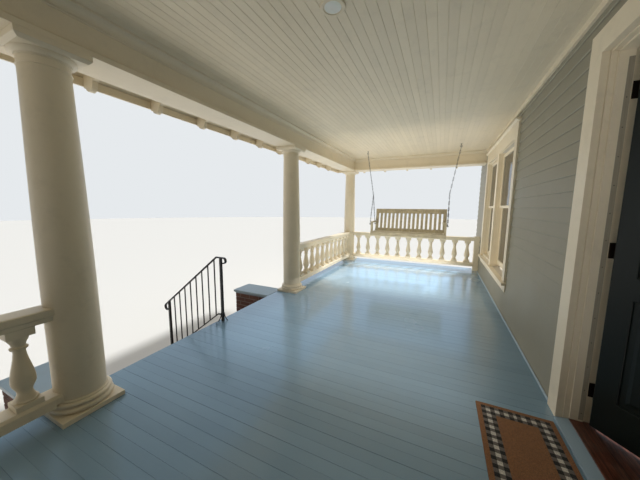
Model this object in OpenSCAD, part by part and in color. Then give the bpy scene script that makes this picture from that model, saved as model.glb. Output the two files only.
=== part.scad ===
// Front porch of a house: four round columns under a box beam and a hipped
// lean-to roof, a turned balustrade, brick steps between cheek blocks, a wrought
// iron handrail, the house wall with its door and paired windows, and a swing.
// Millimetres. X runs along the house wall, Y into the house, Z up from the
// ground. The origin is on the ground under the middle of the house wall's
// thickness, on the centre line of the entry bay. The modules below measure Y
// from the face of the siding, and the street side is negative.

/* [Floor] */
// Height of the porch floor above the ground
floor_z = 760; // [640:10:900]
// Depth of the floor, from the siding to its front edge
floor_depth = 3420; // [3000:10:3800]
// Thickness of the floor boards
deck_t = 30; // [22:1:40]
// How far the floor boards stand over the band board
deck_nose = 30; // [15:1:45]
// Height of the band board under the floor boards
rim_h = 180; // [120:5:240]
// Thickness of the band board
rim_t = 38; // [25:1:60]
// Thickness of the brick foundation walls
foundation_t = 200; // [100:10:300]

/* [Columns] */
// Distance between the centres of the two columns at the steps
entry_bay = 3060; // [2600:10:3400]
// Distance between column centres in each side bay
side_bay = 3200; // [2600:10:3600]
// Distance from a column's centre to the floor's edge
column_setback = 190; // [190:5:260]
// Floor past the centre of the end columns
floor_past_column = 250; // [200:5:300]
// Width of the square plinth
plinth_w = 380; // [370:5:400]
// Height of the square plinth
plinth_h = 35; // [25:5:60]
// Diameter of the shaft over its lower third
shaft_d = 300; // [280:5:320]
// Height of the shaft's straight lower part
shaft_straight = 760; // [600:10:900]
// Diameter of the shaft at its neck
neck_d = 256; // [230:2:270]
// Width of the square abacus
abacus_w = 370; // [340:5:380]
// Height of the abacus
abacus_h = 55; // [40:5:70]
// Height of the splayed bed under the abacus's slab
abacus_bed_h = 20; // [12:1:30]
// Radius of the quarter round under the abacus
echinus_r = 28; // [20:1:34]
// Radius of the ring round the neck
astragal_r = 6; // [4:1:10]

/* [Beam and ceiling] */
// Ceiling above the head of the door's casing
ceiling_over_door = 190; // [120:5:260]
// Underside of the beam below the ceiling
beam_drop = 280; // [220:10:340]
// Width of the box beam
beam_w = 320; // [260:5:360]
// Thickness of the ceiling boards
ceiling_t = 20; // [12:1:30]
// Width of the ceiling light
light_d = 165; // [120:5:220]
// Place of the ceiling light along the wall, from the entry centre line
light_x = 720; // [0:10:1200]
// Distance of the ceiling light from the siding
light_y = 1550; // [800:10:2400]

/* [Roof] */
// Eaves past the outer face of the beam
eave_reach = 460; // [350:10:600]
// Rise of the roof over each unit of run
roof_pitch = 0.29; // [0.2:0.01:0.45]
// Height of a rafter tail, measured upright
tail_h = 100; // [80:5:140]
// Thickness of a rafter tail
tail_t = 45; // [35:1:60]
// Distance between rafter tails
tail_spacing = 605; // [400:5:700]
// Middle of the first rafter tail, from the left end beam
first_tail = 150; // [60:10:300]
// Thickness of the roof deck with its shingles, measured upright
roof_t = 45; // [30:1:80]
// Roof past the edge board
drip = 22; // [10:1:40]
// Thickness of the edge board
edge_board_t = 20; // [15:1:30]
// Height of the edge board
edge_board_h = 75; // [50:5:90]

/* [Balustrade] */
// Top of the balustrade above the floor
railing_h = 800; // [700:5:900]
// Width of the top rail
top_rail_w = 165; // [160:5:220]
// Height of the top rail's cap
top_rail_h = 56; // [45:1:75]
// Height of the moulding under the cap
sub_rail_h = 30; // [20:1:45]
// Gap under the bottom rail
railing_gap = 105; // [90:5:140]
// Height of the bottom rail
bottom_rail_h = 80; // [60:5:100]
// Width of the bottom rail
bottom_rail_w = 160; // [150:5:180]
// Width of a baluster's square blocks
baluster_w = 130; // [110:2:140]
// Largest diameter of a baluster's turned vase
belly_d = 118; // [80:2:126]
// Diameter of a baluster's neck
baluster_neck_d = 58; // [40:2:70]
// Wanted distance between balusters
baluster_spacing = 265; // [220:5:320]
// Width of the post on the house wall
wall_post_w = 100; // [80:5:140]

/* [Steps] */
// Number of risers from the ground to the floor
risers = 4; // [3:1:5]
// Going of each step
tread_run = 250; // [230:5:320]
// Thickness of the brick treads
tread_t = 64; // [50:2:90]
// Nosing of each tread
tread_nose = 20; // [10:1:35]
// Inner face of the left cheek cap, from the entry centre line
left_cheek_x = 1060; // [900:10:1100]
// Inner face of the right cheek cap, from the entry centre line
right_cheek_x = 1320; // [1100:10:1400]
// Width of a cheek cap
cheek_w = 412; // [360:4:460]
// Height of a cheek cap
cheek_cap_h = 62; // [40:2:90]
// How far a cheek cap stands over the cheek wall
cheek_lip = 28; // [10:2:45]

/* [Iron handrail] */
// Height of the handrail above the floor
handrail_h = 845; // [800:5:950]
// Width of the square posts
iron_post_w = 28; // [20:1:36]
// Width of the square pickets
picket_w = 13; // [10:1:18]
// Number of pickets
pickets = 8; // [6:1:9]
// Width of the handrail's bars
iron_bar_w = 30; // [24:1:40]
// Thickness of the handrail's bars
iron_bar_t = 14; // [10:1:18]
// Distance of the lower post in front of the floor's edge
lower_post_out = 985; // [880:5:1280]
// Top bar to bottom bar, measured upright
iron_bar_drop = 757; // [700:5:780]
// Radius of the curl at the foot of the handrail
lower_curl_r = 45; // [35:1:50]
// Reach of the sloping bar past the lower post
iron_tip = 73; // [60:1:90]
// Radius of the curl at the head of the handrail
upper_curl_r = 34; // [25:1:40]
// Reach of the posts' splayed feet
iron_foot_r = 50; // [45:1:60]

/* [House wall] */
// Thickness of the siding that covers the wall
siding_t = 18; // [10:1:25]
// Thickness of the wall behind the siding
wall_t = 150; // [120:5:200]
// House wall past the roof's ends
wall_past_roof = 40; // [20:5:300]
// House wall above the roof
wall_over_roof = 90; // [60:10:300]

/* [Windows] */
// Centre of each window pair, from the entry centre line
window_x = 3020; // [2950:10:3100]
// Width of the hole for a window pair
window_w = 2220; // [2100:10:2300]
// Bottom of the window hole above the floor
window_z = 480; // [440:10:600]
// Window heads below the door's head
window_head_drop = 10; // [0:5:60]
// Height of the meeting rails above the floor
meeting_z = 1510; // [1400:10:1560]
// Width of the post between two windows
mullion_w = 120; // [90:2:140]
// Width of a sash stile
stile_w = 50; // [40:2:60]
// Thickness of a sash
sash_t = 35; // [30:1:40]
// Width of the casing boards
casing_w = 130; // [100:2:150]
// Thickness of the casing boards
casing_t = 25; // [18:1:32]
// Height of the casing over a window
head_casing_h = 200; // [150:5:220]
// Height of a window's sill board
window_sill_h = 42; // [30:1:55]
// Height of the apron under a window's sill
apron_h = 100; // [70:5:140]

/* [Door] */
// Left side of the doorway, from the entry centre line
door_x = 180; // [150:5:250]
// Clear width of the doorway
door_w = 920; // [860:5:960]
// Clear height of the doorway above the floor
door_h = 2410; // [2100:10:2420]
// Thickness of the frame around the door
jamb_t = 30; // [25:1:40]
// Width of the door's casing boards
door_casing_w = 150; // [120:5:160]
// Thickness of the door leaf
leaf_t = 45; // [40:1:50]
// Gap round the door leaf
leaf_gap = 5; // [5:1:8]
// Angle of the open door
door_open = 39; // [0:1:85]
// Height of the wooden threshold above the floor
threshold_h = 34; // [24:1:45]
// Height of the door's knobs above the floor
knob_z = 1000; // [900:10:1100]
// Depth of the hall floor behind the doorway
hall_depth = 450; // [300:10:560]

/* [Swing] */
// Distance of the swing's hooks from the entry centre line
swing_x = 3650; // [3400:10:3800]
// Distance of the swing's middle from the siding
swing_y = 1510; // [1450:10:1600]
// Distance between the two ceiling hooks
hook_span = 1890; // [1800:10:1960]
// Width of the swing's seat
seat_w = 1550; // [1400:10:1600]
// Depth of the swing's seat
seat_d = 480; // [420:10:520]
// Underside of the seat above the floor
seat_z = 870; // [820:10:900]
// Height of the seat rails
seat_rail_h = 60; // [45:1:70]
// Thickness of the wooden slats
slat_t = 18; // [14:1:24]
// Number of seat slats
seat_slats = 7; // [5:1:8]
// Length of the swing's back, measured along its slope
back_h = 520; // [440:10:560]
// Lean of the back
back_lean = 12; // [6:1:18]
// Number of upright slats in the back
back_slats = 17; // [11:2:19]
// Height of the armrests above the seat
arm_z = 230; // [180:5:260]
// Width of the armrests
arm_w = 80; // [60:5:100]
// Height above the floor at which each side's chain divides
split_h = 1760; // [1600:10:2000]
// Radius of the chain's wire
chain_wire = 3; // [2.5:0.5:3.5]
// Wanted distance between links
chain_pitch = 64; // [50:1:80]

/* [Door mat] */
// Width of the door mat
mat_w = 760; // [600:10:800]
// Depth of the door mat
mat_d = 470; // [400:10:500]
// Thickness of the door mat
mat_t = 14; // [8:1:20]

/* [Hidden] */
$fn = 48;

trim_colour = "#efe9dc";
floor_colour = "#9db4c0";
brick_colour = "#8c5247";
siding_colour = "#a3a99f";
roof_colour = "#5c5a58";
iron_colour = "#1c1c1e";
wood_colour = "#8a7f70";
door_colour = "#1f2b27";
brass_colour = "#b59a5b";

// Heights above the floor: the ceiling over the door's casing, and the beam
casing_reveal = 10;
ceiling_z = door_h + casing_reveal + door_casing_w + ceiling_over_door;
beam_z = ceiling_z - beam_drop;
window_h = door_h - window_head_drop - window_z;

// Places along and across the porch
wall_face = siding_t;
wall_back = wall_face + wall_t;
wall_mid = (wall_face + wall_back) / 2;
entry_x = entry_bay / 2;
end_x = entry_x + side_bay;
column_x = [-end_x, -entry_x, entry_x, end_x];
column_y = -floor_depth + column_setback;
floor_half = end_x + floor_past_column;
rim_y = -floor_depth + deck_nose;
rim_x = floor_half - deck_nose;
rim_z = floor_z - deck_t - rim_h;
beam_half = beam_w / 2;
beam_out_y = column_y - beam_half;
beam_in_y = column_y + beam_half;
beam_out_x = end_x + beam_half;
beam_in_x = end_x - beam_half;
beam_bottom = floor_z + beam_z;
ceiling_bottom = floor_z + ceiling_z;
mitre_gap = 0.3;

// Roof: the rafters' underside meets the ceiling at the beam's inner face
tail_end_y = beam_out_y - eave_reach;
tail_end_x = beam_out_x + eave_reach;
eave_y = tail_end_y - edge_board_t - drip;
eave_x = tail_end_x + edge_board_t + drip;
function rafter_z(run) = ceiling_bottom + roof_pitch * (run - beam_w - eave_reach);
function deck_z(run) = rafter_z(run) + tail_h;
eave_run = -edge_board_t - drip;
roof_run = wall_face - tail_end_y;
roof_top = deck_z(roof_run) + roof_t;
wall_half = eave_x + wall_past_roof;
wall_top = roof_top + wall_over_roof;
wall_bottom = floor_z - deck_t;

// Columns
base_h = 90;
capital_h = 200;
column_top = floor_z + beam_z;
shaft_z = floor_z + plinth_h + base_h;
capital_z = column_top - abacus_h - capital_h + abacus_h;
shaft_r = shaft_d / 2;
neck_r = neck_d / 2;
base_r = plinth_w / 2 - 3;
fit_gap = 0.3;

// Balustrade
rail_top_z = floor_z + railing_h;
cap_z = rail_top_z - top_rail_h;
baluster_top = cap_z - sub_rail_h;
bottom_rail_z = floor_z + railing_gap;
baluster_z = bottom_rail_z + bottom_rail_h;
baluster_h = baluster_top - baluster_z;
wall_post_y = -wall_post_w;

// Steps
rise = floor_z / risers;
treads = risers - 1;
step_left = -left_cheek_x - cheek_lip;
step_right = right_cheek_x + cheek_lip;
cheek_front = rim_y - treads * tread_run - cheek_lip;
cheek_body_w = cheek_w - 2 * cheek_lip;

// Iron handrail
upper_post_y = floor_depth - deck_t / 2 - iron_foot_r;
lower_post_y = floor_depth + lower_post_out;
iron_z = floor_z + handrail_h - iron_bar_t / 2;
iron_pitch = rise / tread_run;
bend_y = upper_post_y + 75;
iron_angle = atan(iron_pitch);
iron_foot_h = 110;
iron_foot_t = 10;
iron_foot_a = 2 * atan((iron_foot_r - iron_post_w / 2) / iron_foot_h);
iron_foot_bow = iron_foot_h / sin(iron_foot_a);

// Doorway
leaf_inner = wall_back;
leaf_outer = leaf_inner - leaf_t;
leaf_x = door_x + leaf_gap;
leaf_w = door_w - 2 * leaf_gap;
leaf_z = floor_z + threshold_h + 8;
leaf_top = floor_z + door_h - leaf_gap;
leaf_h = leaf_top - leaf_z;
pin_r = 5;
knuckle_r = 9;
pin_gap = 0.06;
hinge_pin_x = door_x + leaf_gap / 2;
hinge_pin_y = wall_back + knuckle_r + 1;
hall_gap = 2;
hall_t = 40;
hall_top = threshold_h - 14;
hinge_h = 100;
hinge_z = [leaf_z + 180, leaf_z + leaf_h / 2 - hinge_h / 2, leaf_top - 180 - hinge_h];

// Windows
frame_t = 25;
sill_h = 45;
window_bottom = floor_z + window_z;
window_top = window_bottom + window_h;
sash_w = (window_w - 2 * frame_t - mullion_w) / 2;
sash_bottom = window_bottom + sill_h;
sash_top = window_top - frame_t;
meeting_h = 40;
upper_sash_y = wall_face + 30;
lower_sash_y = upper_sash_y + sash_t + 2;
frame_depth = 130;

// Swing
hook_z = ceiling_bottom - 46;
hook_r = 16;
eye_wire = 4;
split_r = 20;
seat_rail_w = 40;
swing_bottom = floor_z + seat_z;
slat_z = swing_bottom + seat_rail_h;
seat_top = slat_z + slat_t;
seat_front = -swing_x + 265;
seat_back = seat_front - seat_d;
arm_top = seat_top + arm_z;
side_y = seat_w / 2;
eye_shank = 8;
eye_r = 12;
chain_y = side_y + eye_shank + eye_r;
chain_gap = 0.3;
link_r = 2 * chain_wire + 1.8;
split_z = floor_z + split_h;

function arc(cx, cy, r, a0, a1, n) =
    [for (i = [0 : n]) [cx + r * cos(a0 + (a1 - a0) * i / n), cy + r * sin(a0 + (a1 - a0) * i / n)]];

// Smooth change of radius from one height of a turning to the next
function ease(z0, r0, z1, r1, n) =
    [for (i = [1 : n]) let (t = i / n) [r0 + (r1 - r0) * (1 - cos(180 * t)) / 2, z0 + (z1 - z0) * t]];

module place() translate([0, -wall_mid, 0]) children();

module block(x0, x1, y0, y1, z0, z1) translate([x0, y0, z0]) cube([x1 - x0, y1 - y0, z1 - z0]);

// A profile drawn as [y, z], drawn out along X from x0 to x1
module along_x(x0, x1) translate([x0, 0, 0]) rotate([90, 0, 90]) linear_extrude(x1 - x0) children();

// A profile drawn as [x, z], drawn out along Y from y0 to y1
module along_y(y0, y1) translate([0, y1, 0]) rotate([90, 0, 0]) linear_extrude(y1 - y0) children();

// A child built at X positive, and its mirror image
module both_sides() {
    children();
    mirror([1, 0, 0]) children();
}

// Foundation and floor

module foundation_front() color(brick_colour) place()
    block(-rim_x, rim_x, rim_y, rim_y + foundation_t, 0, rim_z);

module foundation_ends() color(brick_colour) place() both_sides()
    block(rim_x - foundation_t, rim_x, rim_y + foundation_t, wall_face, 0, rim_z);

module foundation_house() color(brick_colour) place()
    block(-wall_half, wall_half, wall_face, wall_back, 0, wall_bottom);

module band_boards() color(trim_colour) place() {
    block(-rim_x, rim_x, rim_y, rim_y + rim_t, rim_z, rim_z + rim_h);
    both_sides() block(rim_x - rim_t, rim_x, rim_y + rim_t + mitre_gap, wall_face, rim_z, rim_z + rim_h);
}

module floor_deck() color(floor_colour) place() {
    block(-floor_half, floor_half, -floor_depth + deck_t / 2, wall_face, floor_z - deck_t, floor_z);
    along_x(-floor_half, floor_half) intersection() {
        translate([-floor_depth + deck_t / 2, floor_z - deck_t / 2]) circle(d = deck_t);
        translate([-floor_depth, floor_z - deck_t]) square([deck_t / 2, deck_t]);
    }
}

// Steps

function step_profile(k) = [
    [rim_y - k * tread_run, floor_z - k * rise - tread_t],
    [rim_y - k * tread_run, k == treads ? 0 : floor_z - (k + 1) * rise - tread_t]
];

module step_masonry() color(brick_colour) place() along_x(step_left, step_right)
    polygon(concat([[rim_y, 0], [rim_y, floor_z - rise - tread_t]], [for (k = [1 : treads]) each step_profile(k)]));

module step_treads() color(brick_colour) place() for (k = [1 : treads])
    block(step_left, step_right, rim_y - k * tread_run - tread_nose, rim_y - (k - 1) * tread_run - (k > 1 ? mitre_gap : 0),
        floor_z - k * rise - tread_t, floor_z - k * rise);

module cheek_walls() color(brick_colour) place() {
    block(step_left - cheek_body_w, step_left, cheek_front + cheek_lip, rim_y, 0, floor_z - cheek_cap_h);
    block(step_right, step_right + cheek_body_w, cheek_front + cheek_lip, rim_y, 0, floor_z - cheek_cap_h);
}

// Cap with a cove under its edge, level with the floor
module cheek_cap(x0) {
    lip = cheek_lip;
    intersection() {
        along_y(cheek_front, -floor_depth - mitre_gap) polygon([
            [x0, floor_z], [x0 + cheek_w, floor_z], [x0 + cheek_w, floor_z - cheek_cap_h / 2],
            [x0 + cheek_w - lip, floor_z - cheek_cap_h], [x0 + lip, floor_z - cheek_cap_h], [x0, floor_z - cheek_cap_h / 2]
        ]);
        along_x(x0, x0 + cheek_w) polygon([
            [-floor_depth - mitre_gap, floor_z], [cheek_front, floor_z], [cheek_front, floor_z - cheek_cap_h / 2],
            [cheek_front + lip, floor_z - cheek_cap_h], [-floor_depth - mitre_gap, floor_z - cheek_cap_h]
        ]);
    }
}

module cheek_caps() color(floor_colour) place() {
    cheek_cap(-left_cheek_x - cheek_w);
    cheek_cap(right_cheek_x);
}

// Columns

module at_columns() for (x = column_x) translate([x, column_y, 0]) children();

module column_plinths() color(trim_colour) place() at_columns()
    translate([-plinth_w / 2, -plinth_w / 2, floor_z]) cube([plinth_w, plinth_w, plinth_h]);

module column_bases() color(trim_colour) place() at_columns() translate([0, 0, floor_z + plinth_h]) {
    rotate_extrude() polygon(concat(
        [[0, 0], [base_r - 20, 0]], arc(base_r - 20, 20, 20, -75, 90, 6),
        [[shaft_r + 25, 40], [shaft_r + 25, 44]], arc(shaft_r + 15, 59, 15, -80, 80, 5),
        [[shaft_r + 11, 76], [shaft_r + 11, 84], [shaft_r + 5, base_h], [0, base_h]]
    ));
}

module column_shafts() color(trim_colour) place() at_columns() rotate_extrude() polygon(concat(
    [[0, shaft_z], [shaft_r, shaft_z], [shaft_r, shaft_z + shaft_straight]],
    ease_half(shaft_z + shaft_straight, shaft_r, capital_z, neck_r, 6),
    [[0, capital_z]]
));

// Entasis: the taper starts gently and grows towards the neck
function ease_half(z0, r0, z1, r1, n) =
    [for (i = [1 : n]) let (t = i / n) [r0 + (r1 - r0) * pow(t, 1.4), z0 + (z1 - z0) * t]];

module column_capitals() color(trim_colour) place() at_columns() {
    z = column_top - abacus_h;
    rotate_extrude() polygon(concat(
        [[0, capital_z], [neck_r + 2, capital_z]],
        arc(neck_r + 2, capital_z + astragal_r, astragal_r, -80, 80, 4),
        [[neck_r, capital_z + 2 * astragal_r + 2], [neck_r, z - echinus_r - 8], [neck_r + 7, z - echinus_r - 8]],
        arc(neck_r + 7, z, echinus_r, -86, 0, 5),
        [[0, z]]
    ));
    // Abacus: a splayed bed under a square slab
    narrow = 2 * (neck_r + echinus_r + 9);
    translate([0, 0, z]) linear_extrude(abacus_bed_h, scale = abacus_w / narrow) square(narrow, center = true);
    translate([-abacus_w / 2, -abacus_w / 2, z + abacus_bed_h]) cube([abacus_w, abacus_w, abacus_h - abacus_bed_h]);
}

// Beam, ceiling and light

function beam_top(run) = rafter_z(run);

module beam_front() color(trim_colour) place() along_x(-beam_in_x, beam_in_x) polygon([
    [beam_out_y, beam_bottom], [beam_in_y, beam_bottom],
    [beam_in_y, beam_top(eave_reach + beam_w)], [beam_out_y, beam_top(eave_reach)]
]);

// Each end beam runs from the house wall over the corner column
module beam_ends() color(trim_colour) place() both_sides() intersection() {
    along_y(beam_out_y, wall_face) polygon([
        [beam_out_x, beam_bottom], [beam_in_x, beam_bottom],
        [beam_in_x, beam_top(eave_reach + beam_w)], [beam_out_x, beam_top(eave_reach)]
    ]);
    along_x(0, beam_out_x + 1) polygon([
        [wall_face, beam_bottom], [beam_out_y, beam_bottom], [beam_out_y, beam_top(eave_reach)],
        [beam_in_y, beam_top(eave_reach + beam_w)], [wall_face, beam_top(eave_reach + beam_w)]
    ]);
}

// Crown moulding in the corner of beam and ceiling, as [out from the beam, height]:
// a bead on the beam, a cove and a bead under the ceiling
crown = 62;
bead_r = 8;
crown_profile = concat(
    [[0, -crown - 2 * bead_r]],
    arc(bead_r / 2, -crown - bead_r, bead_r, -90, 90, 6),
    arc(crown - bead_r, -crown, crown - 20, 180, 90, 5),
    arc(crown - bead_r, -20 + bead_r, bead_r, -60, 0, 2),
    [[crown, 0], [0, 0]]
);
// Ledge along the beam's lower inner edge, with a small cove on top
ledge = 24;
strip_profile = concat([[0, 0], [ledge, 0]], arc(ledge, 46, 10, -90, -180, 4), [[0, 46]]);

// A run of moulding on the front beam, cut square against the end beams' runs
module front_moulding(points, reach, z) along_x(-beam_in_x + reach + mitre_gap, beam_in_x - reach - mitre_gap)
    polygon([for (p = points) [beam_in_y + p[0], z + p[1]]]);

module end_moulding(points, z, y1) both_sides() along_y(beam_in_y, y1)
    polygon([for (p = points) [beam_in_x - p[0], z + p[1]]]);

module beam_mouldings() color(trim_colour) place() {
    front_moulding(crown_profile, crown, ceiling_bottom);
    end_moulding(crown_profile, ceiling_bottom, 0);
    front_moulding(strip_profile, ledge, beam_bottom);
    end_moulding(strip_profile, beam_bottom, 0);
    block(-beam_in_x + crown + mitre_gap, beam_in_x - crown - mitre_gap, -16, wall_face, ceiling_bottom - 52, ceiling_bottom);
}

module ceiling() color(trim_colour) place()
    block(-beam_in_x, beam_in_x, beam_in_y, wall_face, ceiling_bottom, ceiling_bottom + ceiling_t);

module ceiling_light() color("white") place() translate([light_x, -light_y, ceiling_bottom]) mirror([0, 0, 1])
    rotate_extrude() polygon(concat(
        [[0, 0], [light_d / 2, 0], [light_d / 2, 4]], arc(light_d / 2 - 8, 4, 8, 0, 90, 4),
        [[light_d / 2 - 20, 12], [light_d / 2 - 22, 8], [0, 8]]
    ));

// Roof

// Rafter tail in the plane of its slope, as [distance in from its end, height].
// Its end is sawn to a small lobe and a larger one that hangs below the rafter
lobe_r = 60;
small_lobe_r = 18;
lobe_x = 82;

module tail_profile() {
    inner = eave_reach + beam_w;
    z = rafter_z(0);
    heel = lobe_x + lobe_r + 8;
    polygon(concat(
        [[0, deck_z(0)], [inner, deck_z(inner)], [inner, rafter_z(inner)], [heel, rafter_z(heel)]],
        arc(lobe_x, z + 22, lobe_r, 350, 218, 11),
        [[2 * small_lobe_r - 2, z - 2]],
        arc(small_lobe_r, z + small_lobe_r - 2, small_lobe_r, 270, 180, 4)
    ));
}

front_tails = floor((2 * beam_in_x - first_tail - tail_t / 2) / tail_spacing);
end_tails = floor((-beam_in_y - 200) / tail_spacing);

module rafter_tails_front() color(trim_colour) place() for (i = [0 : front_tails])
    translate([-beam_in_x + first_tail + i * tail_spacing - tail_t / 2, tail_end_y, 0]) rotate([90, 0, 90])
        linear_extrude(tail_t) tail_profile();

module rafter_tails_ends() color(trim_colour) place() both_sides() for (i = [0 : end_tails])
    translate([tail_end_x, beam_in_y + tail_t + 20 + i * tail_spacing, 0]) rotate([90, 0, 180])
        linear_extrude(tail_t) tail_profile();

module edge_boards() color(trim_colour) place() {
    z = deck_z(-edge_board_t);
    block(-tail_end_x, tail_end_x, tail_end_y - edge_board_t, tail_end_y, z - edge_board_h, z);
    both_sides() block(tail_end_x + mitre_gap, tail_end_x + edge_board_t, tail_end_y - edge_board_t, wall_face, z - edge_board_h, z);
}

// One slope of the roof, drawn as [run, height], with its eave cut upright
module slope_profile(run1) polygon([
    [eave_run, deck_z(eave_run)], [run1, deck_z(run1)], [run1, deck_z(run1) + roof_t], [eave_run, deck_z(eave_run) + roof_t]
]);

hip_run = roof_run - eave_run;

module roof_front() color(roof_colour) place() intersection() {
    translate([-eave_x, tail_end_y, 0]) rotate([90, 0, 90]) linear_extrude(2 * eave_x) slope_profile(roof_run);
    linear_extrude(roof_top + 10) polygon([
        [-eave_x, eave_y], [eave_x, eave_y], [eave_x - hip_run, wall_face], [-eave_x + hip_run, wall_face]
    ]);
}

module roof_ends() color(roof_colour) place() both_sides() intersection() {
    translate([tail_end_x, wall_face, 0]) rotate([90, 0, 180]) mirror([0, 0, 1]) linear_extrude(hip_run) slope_profile(roof_run);
    linear_extrude(roof_top + 10) polygon([
        [eave_x, eave_y], [eave_x, wall_face], [eave_x - hip_run, wall_face]
    ]);
}

// Balustrade

top_rail_profile = let (h = top_rail_w / 2, s = sub_rail_h) concat(
    [[-h + 6, rail_top_z], [h - 6, rail_top_z], [h, rail_top_z - 6]],
    arc(h - 14, cap_z + 14, 14, 0, -60, 4),
    [[h - 10, cap_z], [h - 10, cap_z - s + 5], [h - 15, cap_z - s]],
    [[-h + 15, cap_z - s], [-h + 10, cap_z - s + 5], [-h + 10, cap_z]],
    arc(-h + 14, cap_z + 14, 14, -120, -180, 4),
    [[-h, rail_top_z - 6]]
);

bottom_rail_profile = let (h = bottom_rail_w / 2, b = baluster_w / 2, z = bottom_rail_z) [
    [-h, z], [h, z], [h, baluster_z - 18], [b, baluster_z], [-b, baluster_z], [-h, baluster_z - 18]
];

// What a column takes out of the rails that end against it
module column_room() at_columns() {
    translate([0, 0, floor_z]) cylinder(r = base_r + fit_gap, h = plinth_h + base_h + fit_gap, $fn = 96);
    translate([0, 0, floor_z]) cylinder(r = shaft_r + fit_gap, h = railing_h + 50, $fn = 96);
}

module rails(points) difference() {
    both_sides() {
        translate([0, column_y, 0]) along_x(entry_x, end_x) polygon(points);
        translate([end_x, 0, 0]) along_y(column_y, wall_post_y) polygon(points);
    }
    column_room();
}

module railing_top_rails() color(trim_colour) place() rails(top_rail_profile);

module railing_bottom_rails() color(trim_colour) place() rails(bottom_rail_profile);

module railing_wall_posts() color(trim_colour) place() both_sides()
    block(end_x - top_rail_w / 2, end_x + top_rail_w / 2, wall_post_y, wall_face, floor_z, rail_top_z + 20);

// Turned vase baluster between two square blocks
module baluster() {
    b = baluster_w / 2;
    low = 40;
    high = 52;
    z0 = baluster_z + low;
    z1 = baluster_top - high;
    h = z1 - z0;
    belly = belly_d / 2;
    neck = baluster_neck_d / 2;
    translate([-b, -b, baluster_z]) cube([baluster_w, baluster_w, low]);
    translate([-b, -b, z1]) cube([baluster_w, baluster_w, high]);
    rotate_extrude($fn = 32) polygon(concat(
        [[0, z0 - 1], [b - 4, z0 - 1], [b - 4, z0]], arc(b - 13, z0 + 9, 9, -60, 90, 3),
        ease(z0 + 18, b - 16, z0 + 0.14 * h, neck + 8, 3),
        ease(z0 + 0.14 * h, neck + 8, z0 + 0.30 * h, belly, 4),
        ease(z0 + 0.30 * h, belly, z0 + 0.80 * h, neck, 7),
        [[neck + 12, z0 + 0.80 * h + 2]], arc(neck + 6, z0 + 0.80 * h + 10, 8, -50, 90, 3),
        [[neck + 2, z0 + 0.80 * h + 18]],
        ease(z0 + 0.80 * h + 18, neck + 2, z1 - 8, b - 14, 4),
        [[b - 8, z1 - 8], [b - 8, z1 + 1], [0, z1 + 1]]
    ));
}

side_clear = side_bay - shaft_d;
side_count = round(side_clear / baluster_spacing);
end_clear = wall_post_y - column_y - shaft_r;
end_count = round(end_clear / baluster_spacing);

module side_balusters() for (i = [0 : side_count - 1])
    translate([entry_x + shaft_r + (i + 0.5) * side_clear / side_count, column_y, 0]) baluster();

module end_balusters() for (i = [0 : end_count - 1])
    translate([end_x, column_y + shaft_r + (i + 0.5) * end_clear / end_count, 0]) baluster();

module balusters_front_right() color(trim_colour) place() side_balusters();
module balusters_front_left() color(trim_colour) place() mirror([1, 0, 0]) side_balusters();
module balusters_right_end() color(trim_colour) place() end_balusters();
module balusters_left_end() color(trim_colour) place() mirror([1, 0, 0]) end_balusters();

// Iron handrail, in the plane X = 0. Its outlines are drawn as [Y, height], and
// s is the distance from the siding.

function iron_top(s) = s < bend_y ? iron_z : iron_z - (s - bend_y) * iron_pitch;
function iron_half(s) = s < bend_y ? iron_bar_t / 2 : iron_bar_t / 2 / cos(iron_angle);

// A bar's outline from a to b, with upright ends
module strip(a, b) {
    half = [0, iron_bar_t / 2 * norm(b - a) / abs(b[0] - a[0])];
    polygon([a + half, b + half, b - half, a - half]);
}

module arc_band(cx, cy, r, t, a0, a1, n)
    polygon(concat(arc(cx, cy, r + t / 2, a0, a1, n), arc(cx, cy, r - t / 2, a1, a0, n)));

module iron_extrude(w) along_x(-w / 2, w / 2) children();

// Upright square bar, cut to the slope of the bars that it meets
module iron_upright(s, w, z0a, z0b) iron_extrude(w) polygon([
    [-s + w / 2, z0a], [-s + w / 2, iron_top(s - w / 2) - iron_half(s - w / 2)],
    [-s - w / 2, iron_top(s + w / 2) - iron_half(s + w / 2)], [-s - w / 2, z0b]
]);

// Splayed foot of four bowed bars off a post's corners
module iron_foot(s, z) translate([0, -s, z]) for (a = [45 : 90 : 315]) rotate([0, 0, a])
    translate([iron_post_w / 2, 0, 0]) along_y(-iron_foot_t / 2, iron_foot_t / 2) intersection() {
        arc_band(iron_foot_bow, iron_foot_h, iron_foot_bow - iron_foot_t / 2, iron_foot_t, 180, 180 + iron_foot_a + 6, 6);
        square([iron_foot_r, iron_foot_h]);
    }

module handrail_posts() color(iron_colour) place() {
    iron_upright(upper_post_y, iron_post_w, floor_z, floor_z);
    iron_foot(upper_post_y, floor_z);
    iron_upright(lower_post_y, iron_post_w, 0, 0);
    iron_foot(lower_post_y, 0);
}

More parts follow.
